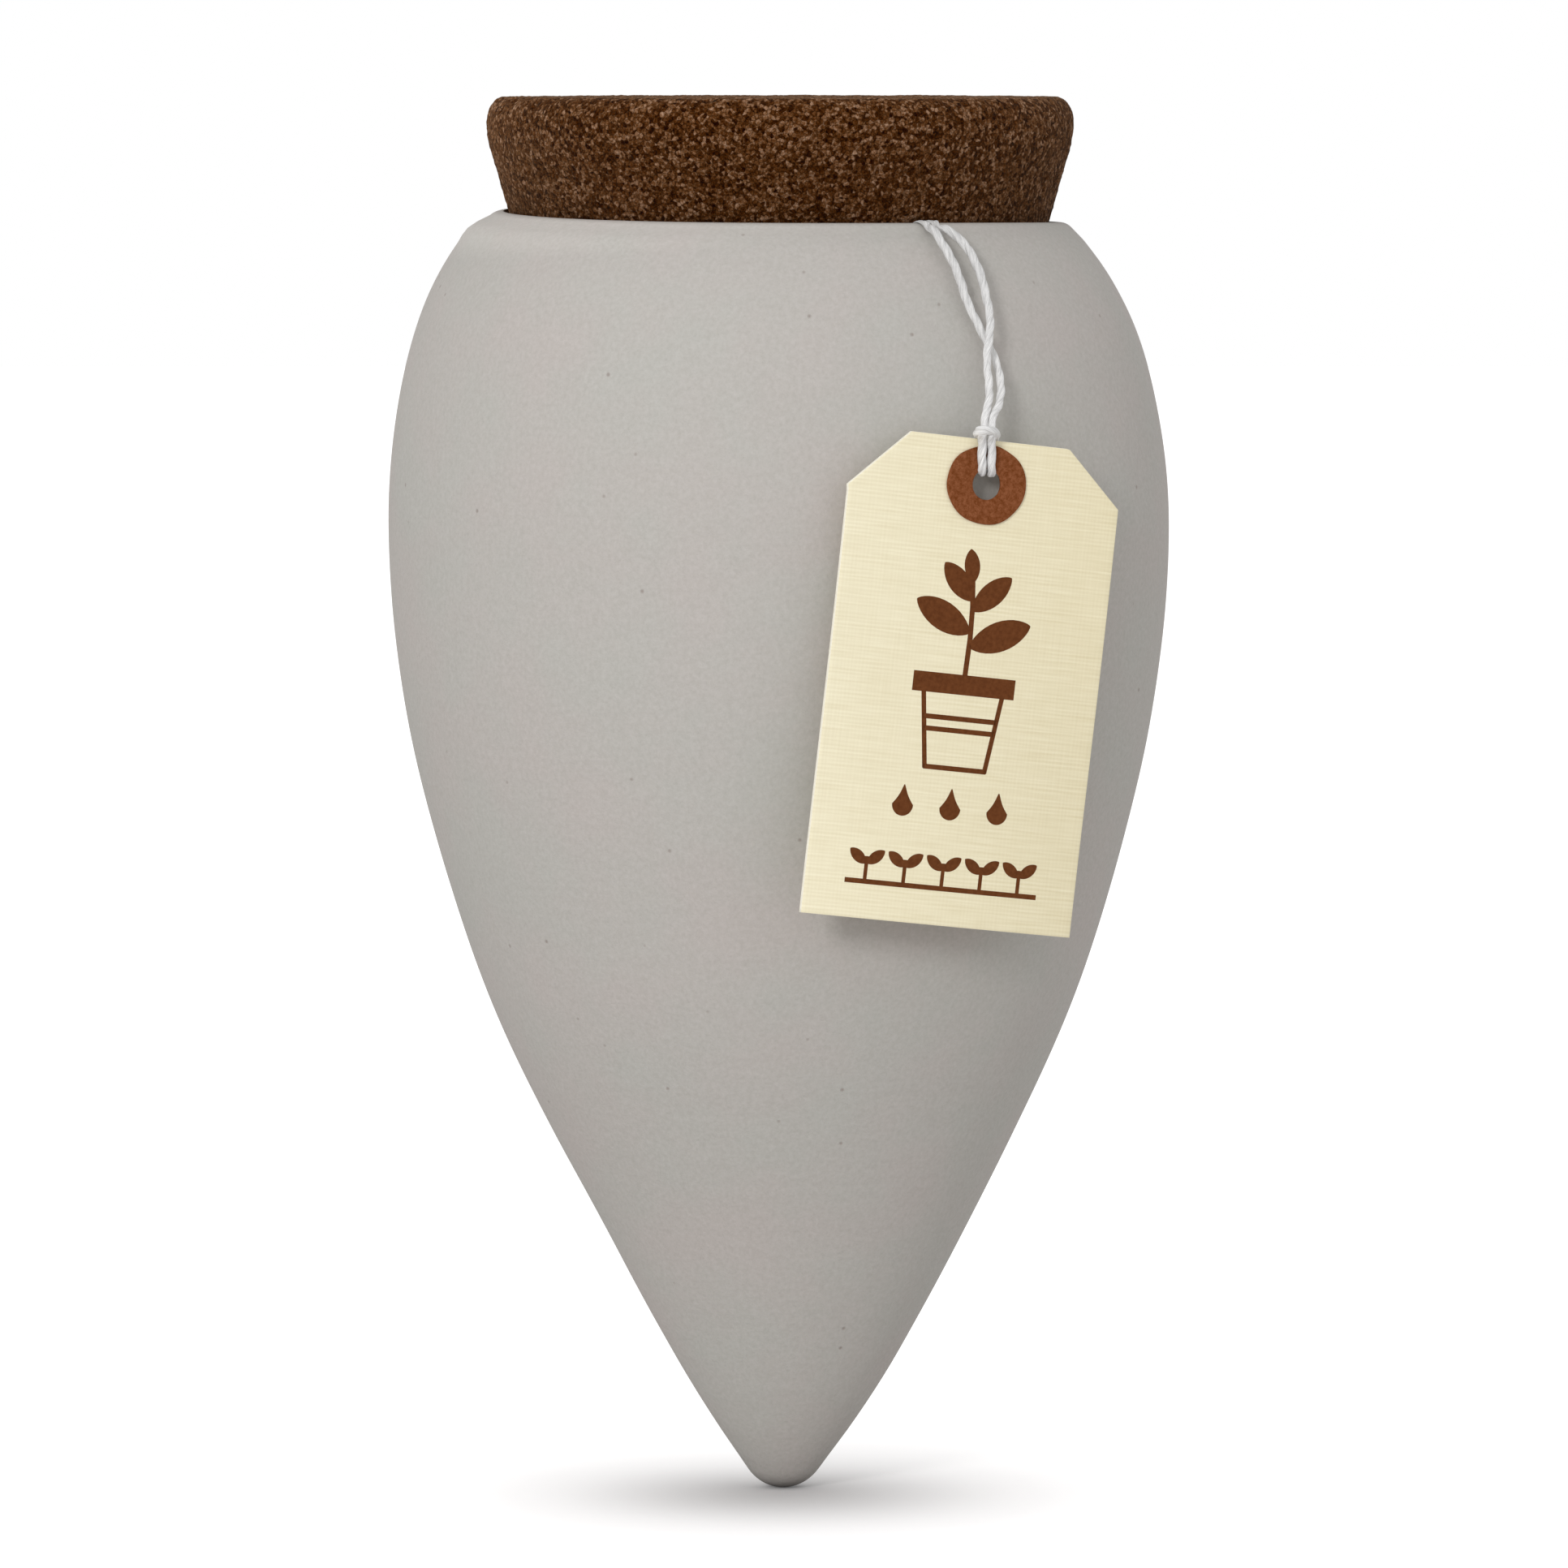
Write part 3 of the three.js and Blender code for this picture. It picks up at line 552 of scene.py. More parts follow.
def make_vessel(clay):
    """The clay body: its turned outline, then the lean, tilt and soft waves of hand forming."""
    tip = arc((0, TIP_ROUND), (TIP_ROUND, TIP_ROUND), -math.pi / 2, -TIP_ANGLE, steps=10)
    side = curve(FLANK, steps=72) + curve(SHOULDER, steps=40)[1:]
    rim = arc(RIM_MIDDLE, (RIM_ROUND, RIM_ROUND), RIM_ANGLE, math.pi / 2, steps=7)
    lip = arc(LIP_MIDDLE, (LIP_ROUND, LIP_ROUND), math.pi / 2, math.pi, steps=6)
    hollow = []
    for before, point, after in zip(side, side[1:], side[2:]):
        along = (after - before).normalized()
        out = Vector((along.z, 0, -along.x))
        inner = point - WALL * out
        if inner.x > FLOOR_ROUND * out.x and (inner.x < MOUTH_RADIUS or point.z < NECK_HEIGHT):
            hollow.append((inner, out))
    hollow = [(inner, out) for inner, out in hollow if inner.z < NECK_HEIGHT or inner.x > MOUTH_RADIUS]
    bed, bed_out = hollow[0]
    bed_angle = math.atan2(bed_out.z, bed_out.x)
    bed_round = bed.x / bed_out.x
    floor = arc((0, bed.z - bed_round * bed_out.z), (bed_round, bed_round), bed_angle, -math.pi / 2, steps=8)
    inside = [inner for inner, out in hollow]
    bore = [Vector((MOUTH_RADIUS, 0, height)) for height in BORE_HEIGHTS]
    profile = tip[:-1] + side + rim[1:] + lip + bore + inside[::-1] + floor[1:]
    bm = turned(profile, TURNS)
    outline = [(point.z, point.x) for point in tip[:-1] + side + rim[1:]]
    for vert in bm.verts:
        radius = math.hypot(vert.co.x, vert.co.y)
        height = vert.co.z
        edge = between(outline, height)
        outside = eased(radius, edge - SKIN[0], edge - SKIN[1])
        wave = sum(high * noise.noise(vert.co / wide) for high, wide in (LONG_WAVE, SHORT_WAVE))
        still = 1 - eased(height, *WAVES_FADE)
        spread = 1 + outside * (still * wave + flowing(SWELL, height)) / max(radius, TIP_SPREAD)
        shift = outside * flowing(LEAN, height)
        drop = RIM_DROP + (RIM_DROP_RIGHT * vert.co.x - RIM_DROP_FRONT * vert.co.y) / RIM_MIDDLE[0]
        drop += RIM_TWIST * vert.co.x * vert.co.y / RIM_MIDDLE[0] ** 2
        drop *= eased(height, *DROP_RISE)
        vert.co = Vector((vert.co.x * spread + shift, vert.co.y * spread, height - drop))
    return piece_of(bm, "fired_clay_vessel", clay)


def dent_limit(height):
    """How far out the cork reaches where the string presses into it."""
    reach = BEND_RADIUS + DENT_REACH
    rise = height - BEND_MIDDLE[1]
    if rise > reach:
        return NO_DENT
    return BEND_MIDDLE[0] - math.sqrt(reach ** 2 - max(0, rise) ** 2)


def make_stopper(cork):
    """The cork: a tapered plug with a worn top edge, rough with granules and dented by the string."""
    upright = CORK_TOP - CORK_EDGE[1]
    side_radius = CORK_SEAT[0] + (upright - CORK_SEAT[1]) * math.tan(CORK_TAPER)
    side_middle = (side_radius - CORK_SIDE_ROUND / math.cos(CORK_TAPER), upright)
    edge_middle = (side_middle[0] + CORK_SIDE_ROUND - CORK_EDGE[0], upright)
    foot_height = CORK_BOTTOM + CORK_FOOT_ROUND
    foot_radius = CORK_SEAT[0] + (foot_height - CORK_SEAT[1]) * math.tan(CORK_TAPER)
    foot_middle = (foot_radius - CORK_FOOT_ROUND / math.cos(CORK_TAPER), foot_height)
    foot = arc(foot_middle, (CORK_FOOT_ROUND, CORK_FOOT_ROUND), -math.pi / 2, -CORK_TAPER, steps=4)
    side = arc(side_middle, (CORK_SIDE_ROUND, CORK_SIDE_ROUND), -CORK_TAPER, 0, steps=9)
    edge = arc(edge_middle, CORK_EDGE, 0, math.pi / 2, steps=11)
    seat = Vector((CORK_SEAT[0], 0, CORK_SEAT[1]))
    hidden = [foot[-1].lerp(seat, i / HIDDEN_ROWS) for i in range(1, HIDDEN_ROWS + 1)]
    shown = [seat.lerp(side[0], i / SHOWN_ROWS) for i in range(1, SHOWN_ROWS)]
    base = [Vector((foot[0].x * i / BASE_ROWS, 0, CORK_BOTTOM)) for i in range(BASE_ROWS)]
    top = [Vector((edge[-1].x * i / TOP_ROWS, 0, CORK_TOP)) for i in range(TOP_ROWS - 1, -1, -1)]
    bm = turned(base + foot + hidden + shown + side + edge[1:] + top, CORK_TURNS)
    bm.normal_update()
    moved = []
    for vert in bm.verts:
        distances, cells = noise.voronoi(vert.co / GRANULE)
        pit = PIT_DEPTH if noise.cell(cells[0] * PIT_SPREAD) > PIT_CHANCE else 0
        height = GRANULE_RISE * (GRANULE_MIDDLE - distances[0]) - pit
        height += sum(high * noise.noise(vert.co / wide) for high, wide in (CRUMB, CORK_WAVE))
        place = vert.co + vert.normal * (height - CORK_SHRINK)
        across = abs(place.dot(NIP_SIDE))
        out = place.dot(NIP_OUT)
        pressed = 1 - eased(across, *DENT_WIDTHS)
        limit = dent_limit(place.z)
        if out > limit and pressed > 0:
            place -= NIP_OUT * (out - limit) * pressed
        place.x += CORK_LEAN
        place.z -= CORK_WORN * eased(place.z, *WORN_RISE)
        moved.append(place)
    for vert, place in zip(bm.verts, moved):
        vert.co = place
    return piece_of(bm, "toasted_cork_stopper", cork)


def smooth_line(stops, step):
    """Points at even steps along a smooth line through the stops."""
    stops = [Vector(stop) for stop in stops]
    ends = [2 * stops[0] - stops[1], *stops, 2 * stops[-1] - stops[-2]]
    fine = [stops[0]]
    for before, start, end, after in zip(ends, ends[1:], ends[2:], ends[3:]):
        pairs = ((before, start), (start, end), (end, after))
        lead, span, trail = [math.sqrt((second - first).length) for first, second in pairs]
        leaving = ((start - before) / lead - (end - before) / (lead + span) + (end - start) / span) * span
        arriving = ((end - start) / span - (after - start) / (span + trail) + (after - end) / trail) * span
        fine += interpolate_bezier(start, start + leaving / 3, end - arriving / 3, end, LINE_STEPS)[1:]
    marks = [0]
    for first, second in zip(fine, fine[1:]):
        marks.append(marks[-1] + (second - first).length)
    count = round(marks[-1] / step)
    points = []
    at = 0
    for i in range(count + 1):
        along = marks[-1] * i / count
        while at < len(marks) - 2 and marks[at + 1] < along:
            at += 1
        points.append(fine[at].lerp(fine[at + 1], (along - marks[at]) / (marks[at + 1] - marks[at])))
    return points


def twisted_string(points, thickness, phase=0):
    """A string of twisted plies along the points, with its diameter at each share of its length."""
    bm = bmesh.new()
    yarn = bm.verts.layers.float_vector.new("yarn")
    ring = bmesh.ops.create_circle(bm, segments=PLY_CORNERS * PLIES, radius=1)["verts"]
    for vert in ring:
        turn = math.atan2(vert.co.y, vert.co.x)
        vert[yarn] = (math.cos(turn), math.sin(turn), 0)
        vert.co *= 1 - PLY_GROOVE * (1 - abs(math.cos(PLIES * turn / 2)))
    edges = list(bm.edges)
    ways = [(b - a).normalized() for a, b in zip(points, points[1:])]
    ways = [ways[0]] + [(a + b).normalized() for a, b in zip(ways, ways[1:])] + [ways[-1]]
    sizes = []
    for i, point in enumerate(points):
        swell = 1 + sum(high * noise.noise(point / long) for high, long in (LONG_SWELL, SHORT_SWELL))
        sizes.append(swell * thickness(i / (len(points) - 1)) / 2)
    facing = Quaternion(ways[0], phase) @ Vector((0, 0, 1)).rotation_difference(ways[0])
    first = Matrix.Translation(points[0]) @ facing.to_matrix().to_4x4() @ Matrix.Scale(sizes[0], 4)
    bmesh.ops.transform(bm, matrix=first, verts=ring)
    along = 0
    for i in range(1, len(points)):
        stride = (points[i] - points[i - 1]).length
        along += stride
        twist = Quaternion(ways[i], 2 * math.pi * stride / PLY_TURN)
        turn = twist @ ways[i - 1].rotation_difference(ways[i])
        step = Matrix.Translation(points[i]) @ turn.to_matrix().to_4x4()
        step = step @ Matrix.Scale(sizes[i] / sizes[i - 1], 4) @ Matrix.Translation(-points[i - 1])
        grown = bmesh.ops.extrude_edge_only(bm, edges=edges)["geom"]
        edges = [part for part in grown if isinstance(part, bmesh.types.BMEdge)]
        verts = [part for part in grown if isinstance(part, bmesh.types.BMVert)]
        bmesh.ops.transform(bm, matrix=step, verts=verts)
        for vert in verts:
            vert[yarn] = (vert[yarn].x, vert[yarn].y, along)
    bmesh.ops.holes_fill(bm, edges=[edge for edge in bm.edges if edge.is_boundary], sides=0)
    bmesh.ops.recalc_face_normals(bm, faces=bm.faces)
    return bm


def string_stops(side, strand, hitch_side):
    """One half of the string: up the inside, over the rim, down its strand and into the hitch."""
    stops = []
    for height in TAIL_HEIGHTS:
        stops.append((BEND_MIDDLE[0] - BEND_RADIUS) * NIP_OUT + side * NIP_SIDE + Vector((0, 0, height)))
    for turn in BEND_TURNS:
        out = BEND_MIDDLE[0] + BEND_RADIUS * math.sin(math.radians(turn))
        height = BEND_MIDDLE[1] + BEND_RADIUS * math.cos(math.radians(turn))
        stops.append(out * NIP_OUT + side * NIP_SIDE + Vector((0, 0, height)))
    stops += strand
    for across, up, out in INTO_HITCH:
        stops.append(TAG_PLACE @ Vector((hitch_side + across, up, out)))
    return stops


def string_thickness(share):
    """The string's own diameter, pressed thinner where the stopper nips it and drawn out towards the tag."""
    nip = eased(share, *NIP_STARTS) - eased(share, *NIP_ENDS)
    return STRING_DIAMETER * (LAID - NIP_LOSS * nip - DRAWN_LOSS * eased(share, *DRAWN_OUT))


def pressed_on_rim(bm):
    """Flattens the string onto the rim where the stopper nips it."""
    clay = BEND_RADIUS - NIP_SINK
    for vert in bm.verts:
        out = vert.co.dot(NIP_OUT) - BEND_MIDDLE[0]
        rise = vert.co.z - BEND_MIDDLE[1]
        reach = math.hypot(out, rise)
        if clay < reach < BEND_RADIUS + NIP_REACH and rise > NIP_RISE[0]:
            flat = NIP_FLAT * eased(rise, *NIP_RISE) * (1 - eased(out, *NIP_RUNS_OUT))
            change = -flat * (reach - clay) / reach
            vert.co += NIP_OUT * (out * change) + Vector((0, 0, rise * change))
    return bm


def even_thickness(share):
    """The string's own diameter all along."""
    return STRING_DIAMETER


def hitch_thickness(share):
    """The hitch is drawn tight, so its legs are a little thinner than the bar in its middle."""
    return STRING_DIAMETER * (BAR_SHARE - LEG_LOSS * eased(abs(share - 0.5), *BAR_ENDS))


def hitch_stops():
    """The hitch: legs down the front, through the hole, up the back, and the bar in front, all aslant."""
    stops = []
    for side, points in ((-1, HALF_HITCH), (1, HALF_HITCH[::-1])):
        for across, up, out in points:
            lean = HITCH_LEAN[0] + HITCH_LEAN[1] * out + HITCH_LEAN[2] * up
            stops.append(TAG_PLACE @ Vector((side * across + lean, up, out)))
    return stops


def knot_stops():
    """An overhand knot with its two ends, as one closed-up line."""
    stops = []
    for i in range(KNOT_STEPS + 1):
        turn = 2 * math.pi * i / KNOT_STEPS * KNOT_CLOSED
        across = math.sin(turn) + 2 * math.sin(2 * turn)
        deep = math.cos(turn) - 2 * math.cos(2 * turn)
        loop = (across, -math.sin(3 * turn), deep)
        stops.append(KNOT_MIDDLE + Vector([size * place for size, place in zip(KNOT_SIZE, loop)]))
    return stops


def card_warp(across, up):
    """How far the card stands out of its plane: its foot curls towards the vessel, its sides more."""
    foot = eased(-up, *CURL_RISE)
    bow = (across / (TAG_SIZE[0] / 2)) ** 2
    return -foot * (CURL + CURL_SIDES * bow)


def placed_on_tag(bm):
    """Warps what lies on the card with it, and puts it in the tag's place."""
    for vert in bm.verts:
        warp = card_warp(vert.co.x, vert.co.y)
        vert.co.z += warp
        vert.co.x += CARD_SIDE - CURL_SLIDE * warp
    bmesh.ops.transform(bm, matrix=TAG_PLACE, verts=bm.verts)


def thicken(bm, thickness):
    """Gives flat faces their thickness, towards the front."""
    grown = bmesh.ops.extrude_face_region(bm, geom=bm.faces[:])["geom"]
    lifted = [part for part in grown if isinstance(part, bmesh.types.BMVert)]
    bmesh.ops.translate(bm, vec=(0, 0, thickness), verts=lifted)
    bmesh.ops.recalc_face_normals(bm, faces=bm.faces)


def bevel_cuts(bm):
    """Takes the sharpness off the cut edges of a sheet."""
    rims = [edge for edge in bm.edges if edge.calc_face_angle(0) > CUT_ANGLE
            and abs(edge.verts[0].co.z - edge.verts[1].co.z) < 1e-4]
    bmesh.ops.bevel(bm, geom=rims, offset=PAPER_BEVEL, segments=2, profile=0.5, affect="EDGES", material=-1)


def make_card(linen, core):
    """The tag's card: clipped top corners, a punched hole and cut edges that show its core."""
    bm = bmesh.new()
    width, height = TAG_SIZE
    bmesh.ops.create_grid(bm, x_segments=CARD_GRID[0], y_segments=CARD_GRID[1], size=0.5)
    bmesh.ops.scale(bm, vec=(width, height, 1), verts=bm.verts)
    bmesh.ops.translate(bm, vec=(0, TAG_TOP - height / 2, 0), verts=bm.verts)
    for way, (wide, high) in TAG_CLIPS:
        corner = Vector((way * (width / 2 - wide), TAG_TOP, 0))
        across_cut = Vector((way * high, wide, 0)).normalized()
        # This leaves no slivers
        for vert in bm.verts:
            over = (vert.co - corner).dot(across_cut)
            if abs(over) < CUT_SNAP:
                vert.co -= across_cut * over
        bmesh.ops.bisect_plane(bm, geom=bm.verts[:] + bm.edges[:] + bm.faces[:], dist=1e-3, plane_co=corner,
                               plane_no=across_cut, clear_outer=True)
    window = []
    for face in bm.faces:
        middle = face.calc_center_median()
        if abs(middle.x) < HOLE_WINDOW and abs(middle.y - HOLE_UP) < HOLE_WINDOW:
            window.append(face)
    bmesh.ops.delete(bm, geom=window, context="FACES")
    border = [edge for edge in bm.edges if edge.is_boundary and abs(edge.verts[0].co.x) < HOLE_WINDOW + 0.5
              and abs(edge.verts[0].co.y - HOLE_UP) < HOLE_WINDOW + 0.5]
    # The hole's edge starts below the sheet, so that the bridge to it finds its way round
    hole = bmesh.ops.create_circle(bm, segments=len(border), radius=CARD_HOLE_RADIUS,
                                   matrix=Matrix.Translation((0, HOLE_UP, -1)))["verts"]
    border += [edge for edge in bm.edges if edge.is_wire]
    bmesh.ops.bridge_loops(bm, edges=border)
    bmesh.ops.translate(bm, vec=(0, 0, 1), verts=hole)
    thicken(bm, TAG_THICKNESS)
    bmesh.ops.translate(bm, vec=(0, 0, CARD_MIDDLE - TAG_THICKNESS / 2), verts=bm.verts)
    bm.normal_update()
    bevel_cuts(bm)
    bm.normal_update()
    weave = bm.loops.layers.uv.new("card")
    for face in bm.faces:
        face.material_index = 1 if abs(face.normal.z) < 0.5 else 0
        for loop in face.loops:
            loop[weave].uv = (loop.vert.co.x, loop.vert.co.y)
    placed_on_tag(bm)
    return piece_of(bm, "linen_card", linen, core)


def make_ring(name, side, fibre):
    """A glued ring round the hole, punched a little unevenly, on the front (side 1) or the back (side -1)."""
    bm = bmesh.new()
    bmesh.ops.create_circle(bm, segments=RING_TURNS, radius=HOLE_RADIUS if side > 0 else CARD_HOLE_RADIUS)
    bmesh.ops.create_circle(bm, segments=RING_TURNS, radius=RING_RADIUS)
    bmesh.ops.bridge_loops(bm, edges=bm.edges[:])
    spokes = [edge for edge in bm.edges if abs(edge.verts[0].co.length - edge.verts[1].co.length) > 1]
    bmesh.ops.subdivide_edges(bm, edges=spokes, cuts=6, use_grid_fill=True)
    thicken(bm, RING_THICKNESS)
    bevel_cuts(bm)
    for vert in bm.verts:
        outward = Vector((vert.co.x, vert.co.y, 0))
        around = outward.normalized() * RING_UNEVEN[1] + Vector((0, 0, 3 * side))
        uneven = RING_UNEVEN[0] * noise.noise(around)
        oval = RING_LARGER + RING_WIDER * (outward.x ** 2 - outward.y ** 2) / outward.length_squared
        vert.co += outward.normalized() * (uneven + oval) * eased(outward.length, *RING_EDGE)
        if vert.co.z > RING_THICKNESS / 2:
            vert.co.z += RING_BUCKLE[0] * noise.noise(outward / RING_BUCKLE[1])
    if side < 0:
        bmesh.ops.rotate(bm, cent=(0, 0, 0), matrix=Matrix.Rotation(math.pi, 3, "Y"), verts=bm.verts)
    face = CARD_MIDDLE + side * (TAG_THICKNESS / 2 + GLUE_FILM)
    bmesh.ops.translate(bm, vec=(0, HOLE_UP, face), verts=bm.verts)
    placed_on_tag(bm)
    return piece_of(bm, name, fibre)


def print_line(bm, start, end, width):
    """A printed stroke between two points of the card."""
    start = Vector(start)
    end = Vector(end)
    way = end - start
    made = bmesh.ops.create_grid(bm, x_segments=max(1, round(way.length)), y_segments=1, size=0.5)["verts"]
    bmesh.ops.scale(bm, vec=(way.length + width * STROKE_OVERRUN, width, 1), verts=made)
    bmesh.ops.rotate(bm, cent=(0, 0, 0), matrix=Matrix.Rotation(math.atan2(way.y, way.x), 3, "Z"), verts=made)
    middle = (start + end) / 2
    bmesh.ops.translate(bm, vec=(middle.x, middle.y, 0), verts=made)


def print_leaf(bm, stalk, length, width, turn):
    """A solid leaf that grows from its stalk in the direction turn."""
    made = bmesh.ops.create_circle(bm, cap_ends=True, segments=PRINT_TURNS, radius=1)["verts"]
    for vert in made:
        vert.co = Vector((length * (vert.co.x + 1) / 2, width / 2 * vert.co.y * abs(vert.co.y) ** 0.5, 0))
    bmesh.ops.rotate(bm, cent=(0, 0, 0), matrix=Matrix.Rotation(turn, 3, "Z"), verts=made)
    bmesh.ops.translate(bm, vec=(*stalk, 0), verts=made)


def print_drop(bm, middle, size):
    """A solid drop of water, pointed at the top."""
    made = bmesh.ops.create_circle(bm, cap_ends=True, segments=PRINT_TURNS, radius=size / 2)["verts"]
    for vert in made:
        rise = max(0, vert.co.y / (size / 2))
        vert.co.x *= 1 - DROP_NARROWER * rise
        vert.co.y *= 1 + DROP_HIGHER * rise * rise
    bmesh.ops.translate(bm, vec=(*middle, 0), verts=made)


def make_print(ink):
    """A plain garden design in brown: a seedling in a pot over three drops and a row of sprouts."""
    bm = bmesh.new()
    print_line(bm, *POT_RIM)
    for start, end in POT_LINES:
        print_line(bm, start, end, OUTLINE_WIDTH)
    for start, end in zip(STEM, STEM[1:]):
        print_line(bm, start, end, STEM_WIDTH)
    for leaf in LEAVES:
        print_leaf(bm, *leaf)
    for middle in DROPS:
        print_drop(bm, middle, DROP_SIZE)
    print_line(bm, *SOIL, OUTLINE_WIDTH)
    for across in SPROUTS_ACROSS:
        print_line(bm, *[(across, up) for up in SPROUT_STEM], SPROUT_STEM_WIDTH)
        for beside, turn in SPROUT_LEAVES:
            print_leaf(bm, (across + beside, SPROUT_STALK), *SPROUT_LEAF_SIZE, turn)
    thicken(bm, PRINT_THICKNESS)
    bmesh.ops.translate(bm, vec=(0, 0, CARD_MIDDLE + TAG_THICKNESS / 2 - PRINT_THICKNESS / 3), verts=bm.verts)
    placed_on_tag(bm)
    design = piece_of(bm, "card_print", ink)
    design.data.set_sharp_from_angle(angle=INK_EDGE_ANGLE)
    return design


def make_camera():
    """The long lens that looks at the olla from the front."""
    lens = bpy.data.cameras.new("front_lens")
    lens.sensor_width = SENSOR_WIDTH
    lens.lens = SENSOR_WIDTH * (LOOKS_AT - EYE).length / FIELD_WIDTH
    camera = bpy.data.objects.new("front_camera", lens)
    camera.location = EYE * MM
    camera.rotation_euler = (LOOKS_AT - EYE).to_track_quat("-Z", "Y").to_euler()
    bpy.context.scene.collection.objects.link(camera)
    bpy.context.scene.camera = camera


def make_lamp(name, place, size, watts):
    """A square soft box that faces the olla."""
    lamp = bpy.data.lights.new(name, "AREA")
    lamp.size = size
    lamp.energy = watts
    holder = bpy.data.objects.new(name, lamp)
    holder.location = place
    holder.rotation_euler = (Vector(LIT_PLACE) - Vector(place)).to_track_quat("-Z", "Y").to_euler()
    bpy.context.scene.collection.objects.link(holder)


def seen_by_camera(tree):
    """1 where the camera sees it, straight, mirrored or through glass, and 0 where it only gives light."""
    path = add(tree, "ShaderNodeLightPath")
    seen = add(tree, "ShaderNodeMath", {0: path.outputs["Is Camera Ray"], 1: path.outputs["Is Glossy Ray"]},
               operation="ADD")
    seen = add(tree, "ShaderNodeMath", {0: seen.outputs["Value"], 1: path.outputs["Is Transmission Ray"]},
               operation="ADD", use_clamp=True)
    return seen.outputs["Value"]


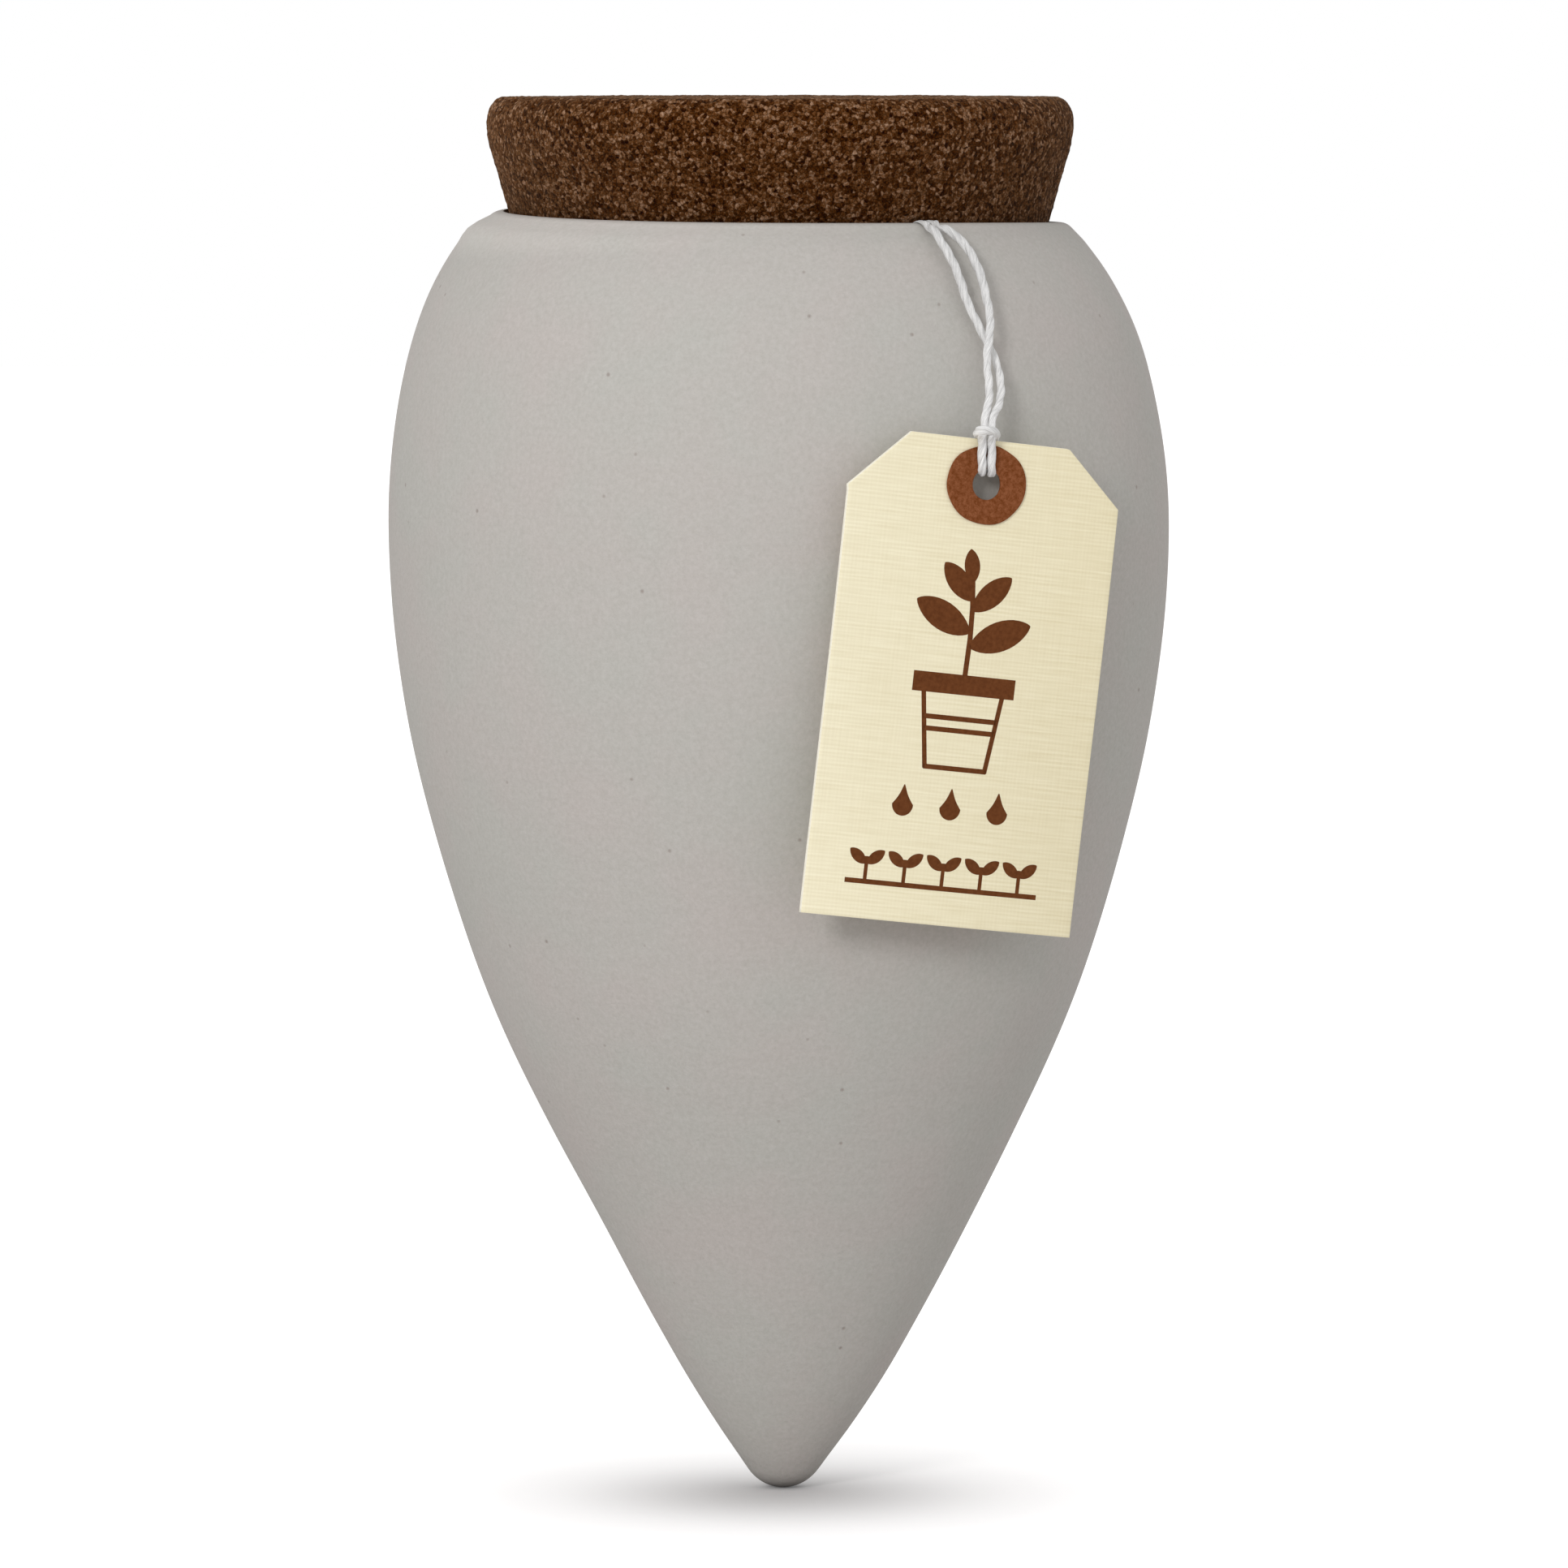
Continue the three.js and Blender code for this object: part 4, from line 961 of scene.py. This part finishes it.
def make_studio():
    """A white floor that keeps the olla's shadow, a soft box and an even pale room."""
    bm = bmesh.new()
    bmesh.ops.create_grid(bm, x_segments=1, y_segments=1, size=FLOOR_SIZE)
    material, tree, output = new_material("studio_paper")
    seen = seen_by_camera(tree)
    # The glow that keeps the paper white fades out round the tip and in front of it, a painted shadow there
    place = add(tree, "ShaderNodeTexCoord").outputs["Object"]
    drawn = add(tree, "ShaderNodeMapping", {
        "Vector": place, "Location": (0, 0.0055, 0), "Scale": (1, 0.85, 1)})
    reach = add(tree, "ShaderNodeVectorMath", {0: drawn.outputs["Vector"]}, operation="LENGTH")
    level = add(tree, "ShaderNodeMapRange", {
        "Value": reach.outputs["Value"], "From Min": -0.003, "From Max": 0.03, "To Min": 0, "To Max": 0.5},
        interpolation_type="SMOOTHSTEP")
    beyond = add(tree, "ShaderNodeMapRange", {
        "Value": reach.outputs["Value"], "From Min": 0.027, "From Max": 0.05, "To Min": 0, "To Max": 0.2})
    level = add(tree, "ShaderNodeMath", {0: level.outputs["Result"], 1: beyond.outputs["Result"]},
                operation="ADD")
    paper = add(tree, "ShaderNodeBsdfDiffuse", {"Color": linear("#cecccc")})
    glow = add(tree, "ShaderNodeEmission", {"Strength": level.outputs["Value"]})
    lit = add(tree, "ShaderNodeAddShader", {0: paper.outputs["BSDF"], 1: glow.outputs["Emission"]})
    # Painted shade: what the olla gets back from the paper is weaker close to the tip
    near = add(tree, "ShaderNodeVectorMath", {0: place}, operation="LENGTH")
    shade = add(tree, "ShaderNodeMapRange", {
        "Value": near.outputs["Value"], "From Min": 0.0015, "From Max": 0.011})
    bounce = add(tree, "ShaderNodeMix", {
        "Factor": shade.outputs["Result"], "A": linear("#6e6c6b"), "B": linear("#d8d6d5")}, data_type="RGBA")
    dim = add(tree, "ShaderNodeBsdfDiffuse", {"Color": bounce.outputs["Result"]})
    mixed = add(tree, "ShaderNodeMixShader", {"Fac": seen, 1: dim.outputs["BSDF"], 2: lit.outputs["Shader"]})
    tree.links.new(mixed.outputs["Shader"], output.inputs["Surface"])
    piece_of(bm, "studio_floor", material)
    world = bpy.data.worlds.new("studio_room")
    world.use_nodes = True
    tree = world.node_tree
    tree.nodes.clear()
    seen = seen_by_camera(tree)
    # The room is a little dimmer overhead than at eye height
    way = add(tree, "ShaderNodeSeparateXYZ", {"Vector": add(tree, "ShaderNodeTexCoord").outputs["Generated"]})
    dim = add(tree, "ShaderNodeMapRange", {
        "Value": way.outputs["Z"], "To Min": ROOM_STRENGTHS[0], "To Max": ROOM_STRENGTHS[1]})
    level = add(tree, "ShaderNodeMix", {"Factor": seen, "A": dim.outputs["Result"], "B": 1})
    room = add(tree, "ShaderNodeBackground", {"Color": (1, 1, 1, 1), "Strength": level.outputs["Result"]})
    output = add(tree, "ShaderNodeOutputWorld")
    tree.links.new(room.outputs["Background"], output.inputs["Surface"])
    bpy.context.scene.world = world
    make_lamp("key_soft_box", KEY_PLACE, KEY_SIZE, KEY_WATTS)
    bpy.context.scene.view_settings.view_transform = "Standard"


make_camera()
cotton = cotton_twist()
left_points = smooth_line(string_stops(-STRAND_PITCH / 2, LEFT_STRAND, LEFT_AT_BAR), STRING_STEP)
right_points = smooth_line(string_stops(STRAND_PITCH / 2, RIGHT_STRAND, RIGHT_AT_BAR), STRING_STEP)
hitch_points = smooth_line(hitch_stops(), STRING_STEP)
knot_points = smooth_line(knot_stops(), STRING_STEP)
left_plies = pressed_on_rim(twisted_string(left_points, string_thickness))
right_plies = pressed_on_rim(twisted_string(right_points, string_thickness, RIGHT_PHASE))
left_string = piece_of(left_plies, "left_string", cotton)
right_string = piece_of(right_plies, "right_string", cotton)
hitch = piece_of(twisted_string(hitch_points, hitch_thickness, HITCH_PHASE), "tag_hitch", cotton)
knot = piece_of(twisted_string(knot_points, even_thickness), "end_knot", cotton)
vessel = make_vessel(fired_clay())
stopper = make_stopper(toasted_cork())
card = make_card(linen_card(), card_core())
fibre = ring_fibre()
front_ring = make_ring("front_ring", 1, fibre)
back_ring = make_ring("back_ring", -1, fibre)
design = make_print(brown_ink())
make_studio()

for piece, body, node, slot in (
        (vessel, "vessel", "clay_vessel", "clay"), (stopper, "stopper", "cork_stopper", "cork"),
        (knot, "vessel", "string_end_knot", "cotton"), (hitch, "tag", "string_hitch", "cotton"),
        (card, "tag", "tag_card", "card"), (front_ring, "tag", "tag_ring_front", "fibre"),
        (back_ring, "tag", "tag_ring_back", "fibre")):
    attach(piece, body)
    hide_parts(node)
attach(design, "tag")
tag_pieces = [hitch, card, front_ring, back_ring, design]
for string, points, side, on_it in (
        (left_string, left_points, "left", tag_pieces), (right_string, right_points, "right", [knot])):
    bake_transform(string)
    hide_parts("string_tail_" + side, "string_strand_" + side)
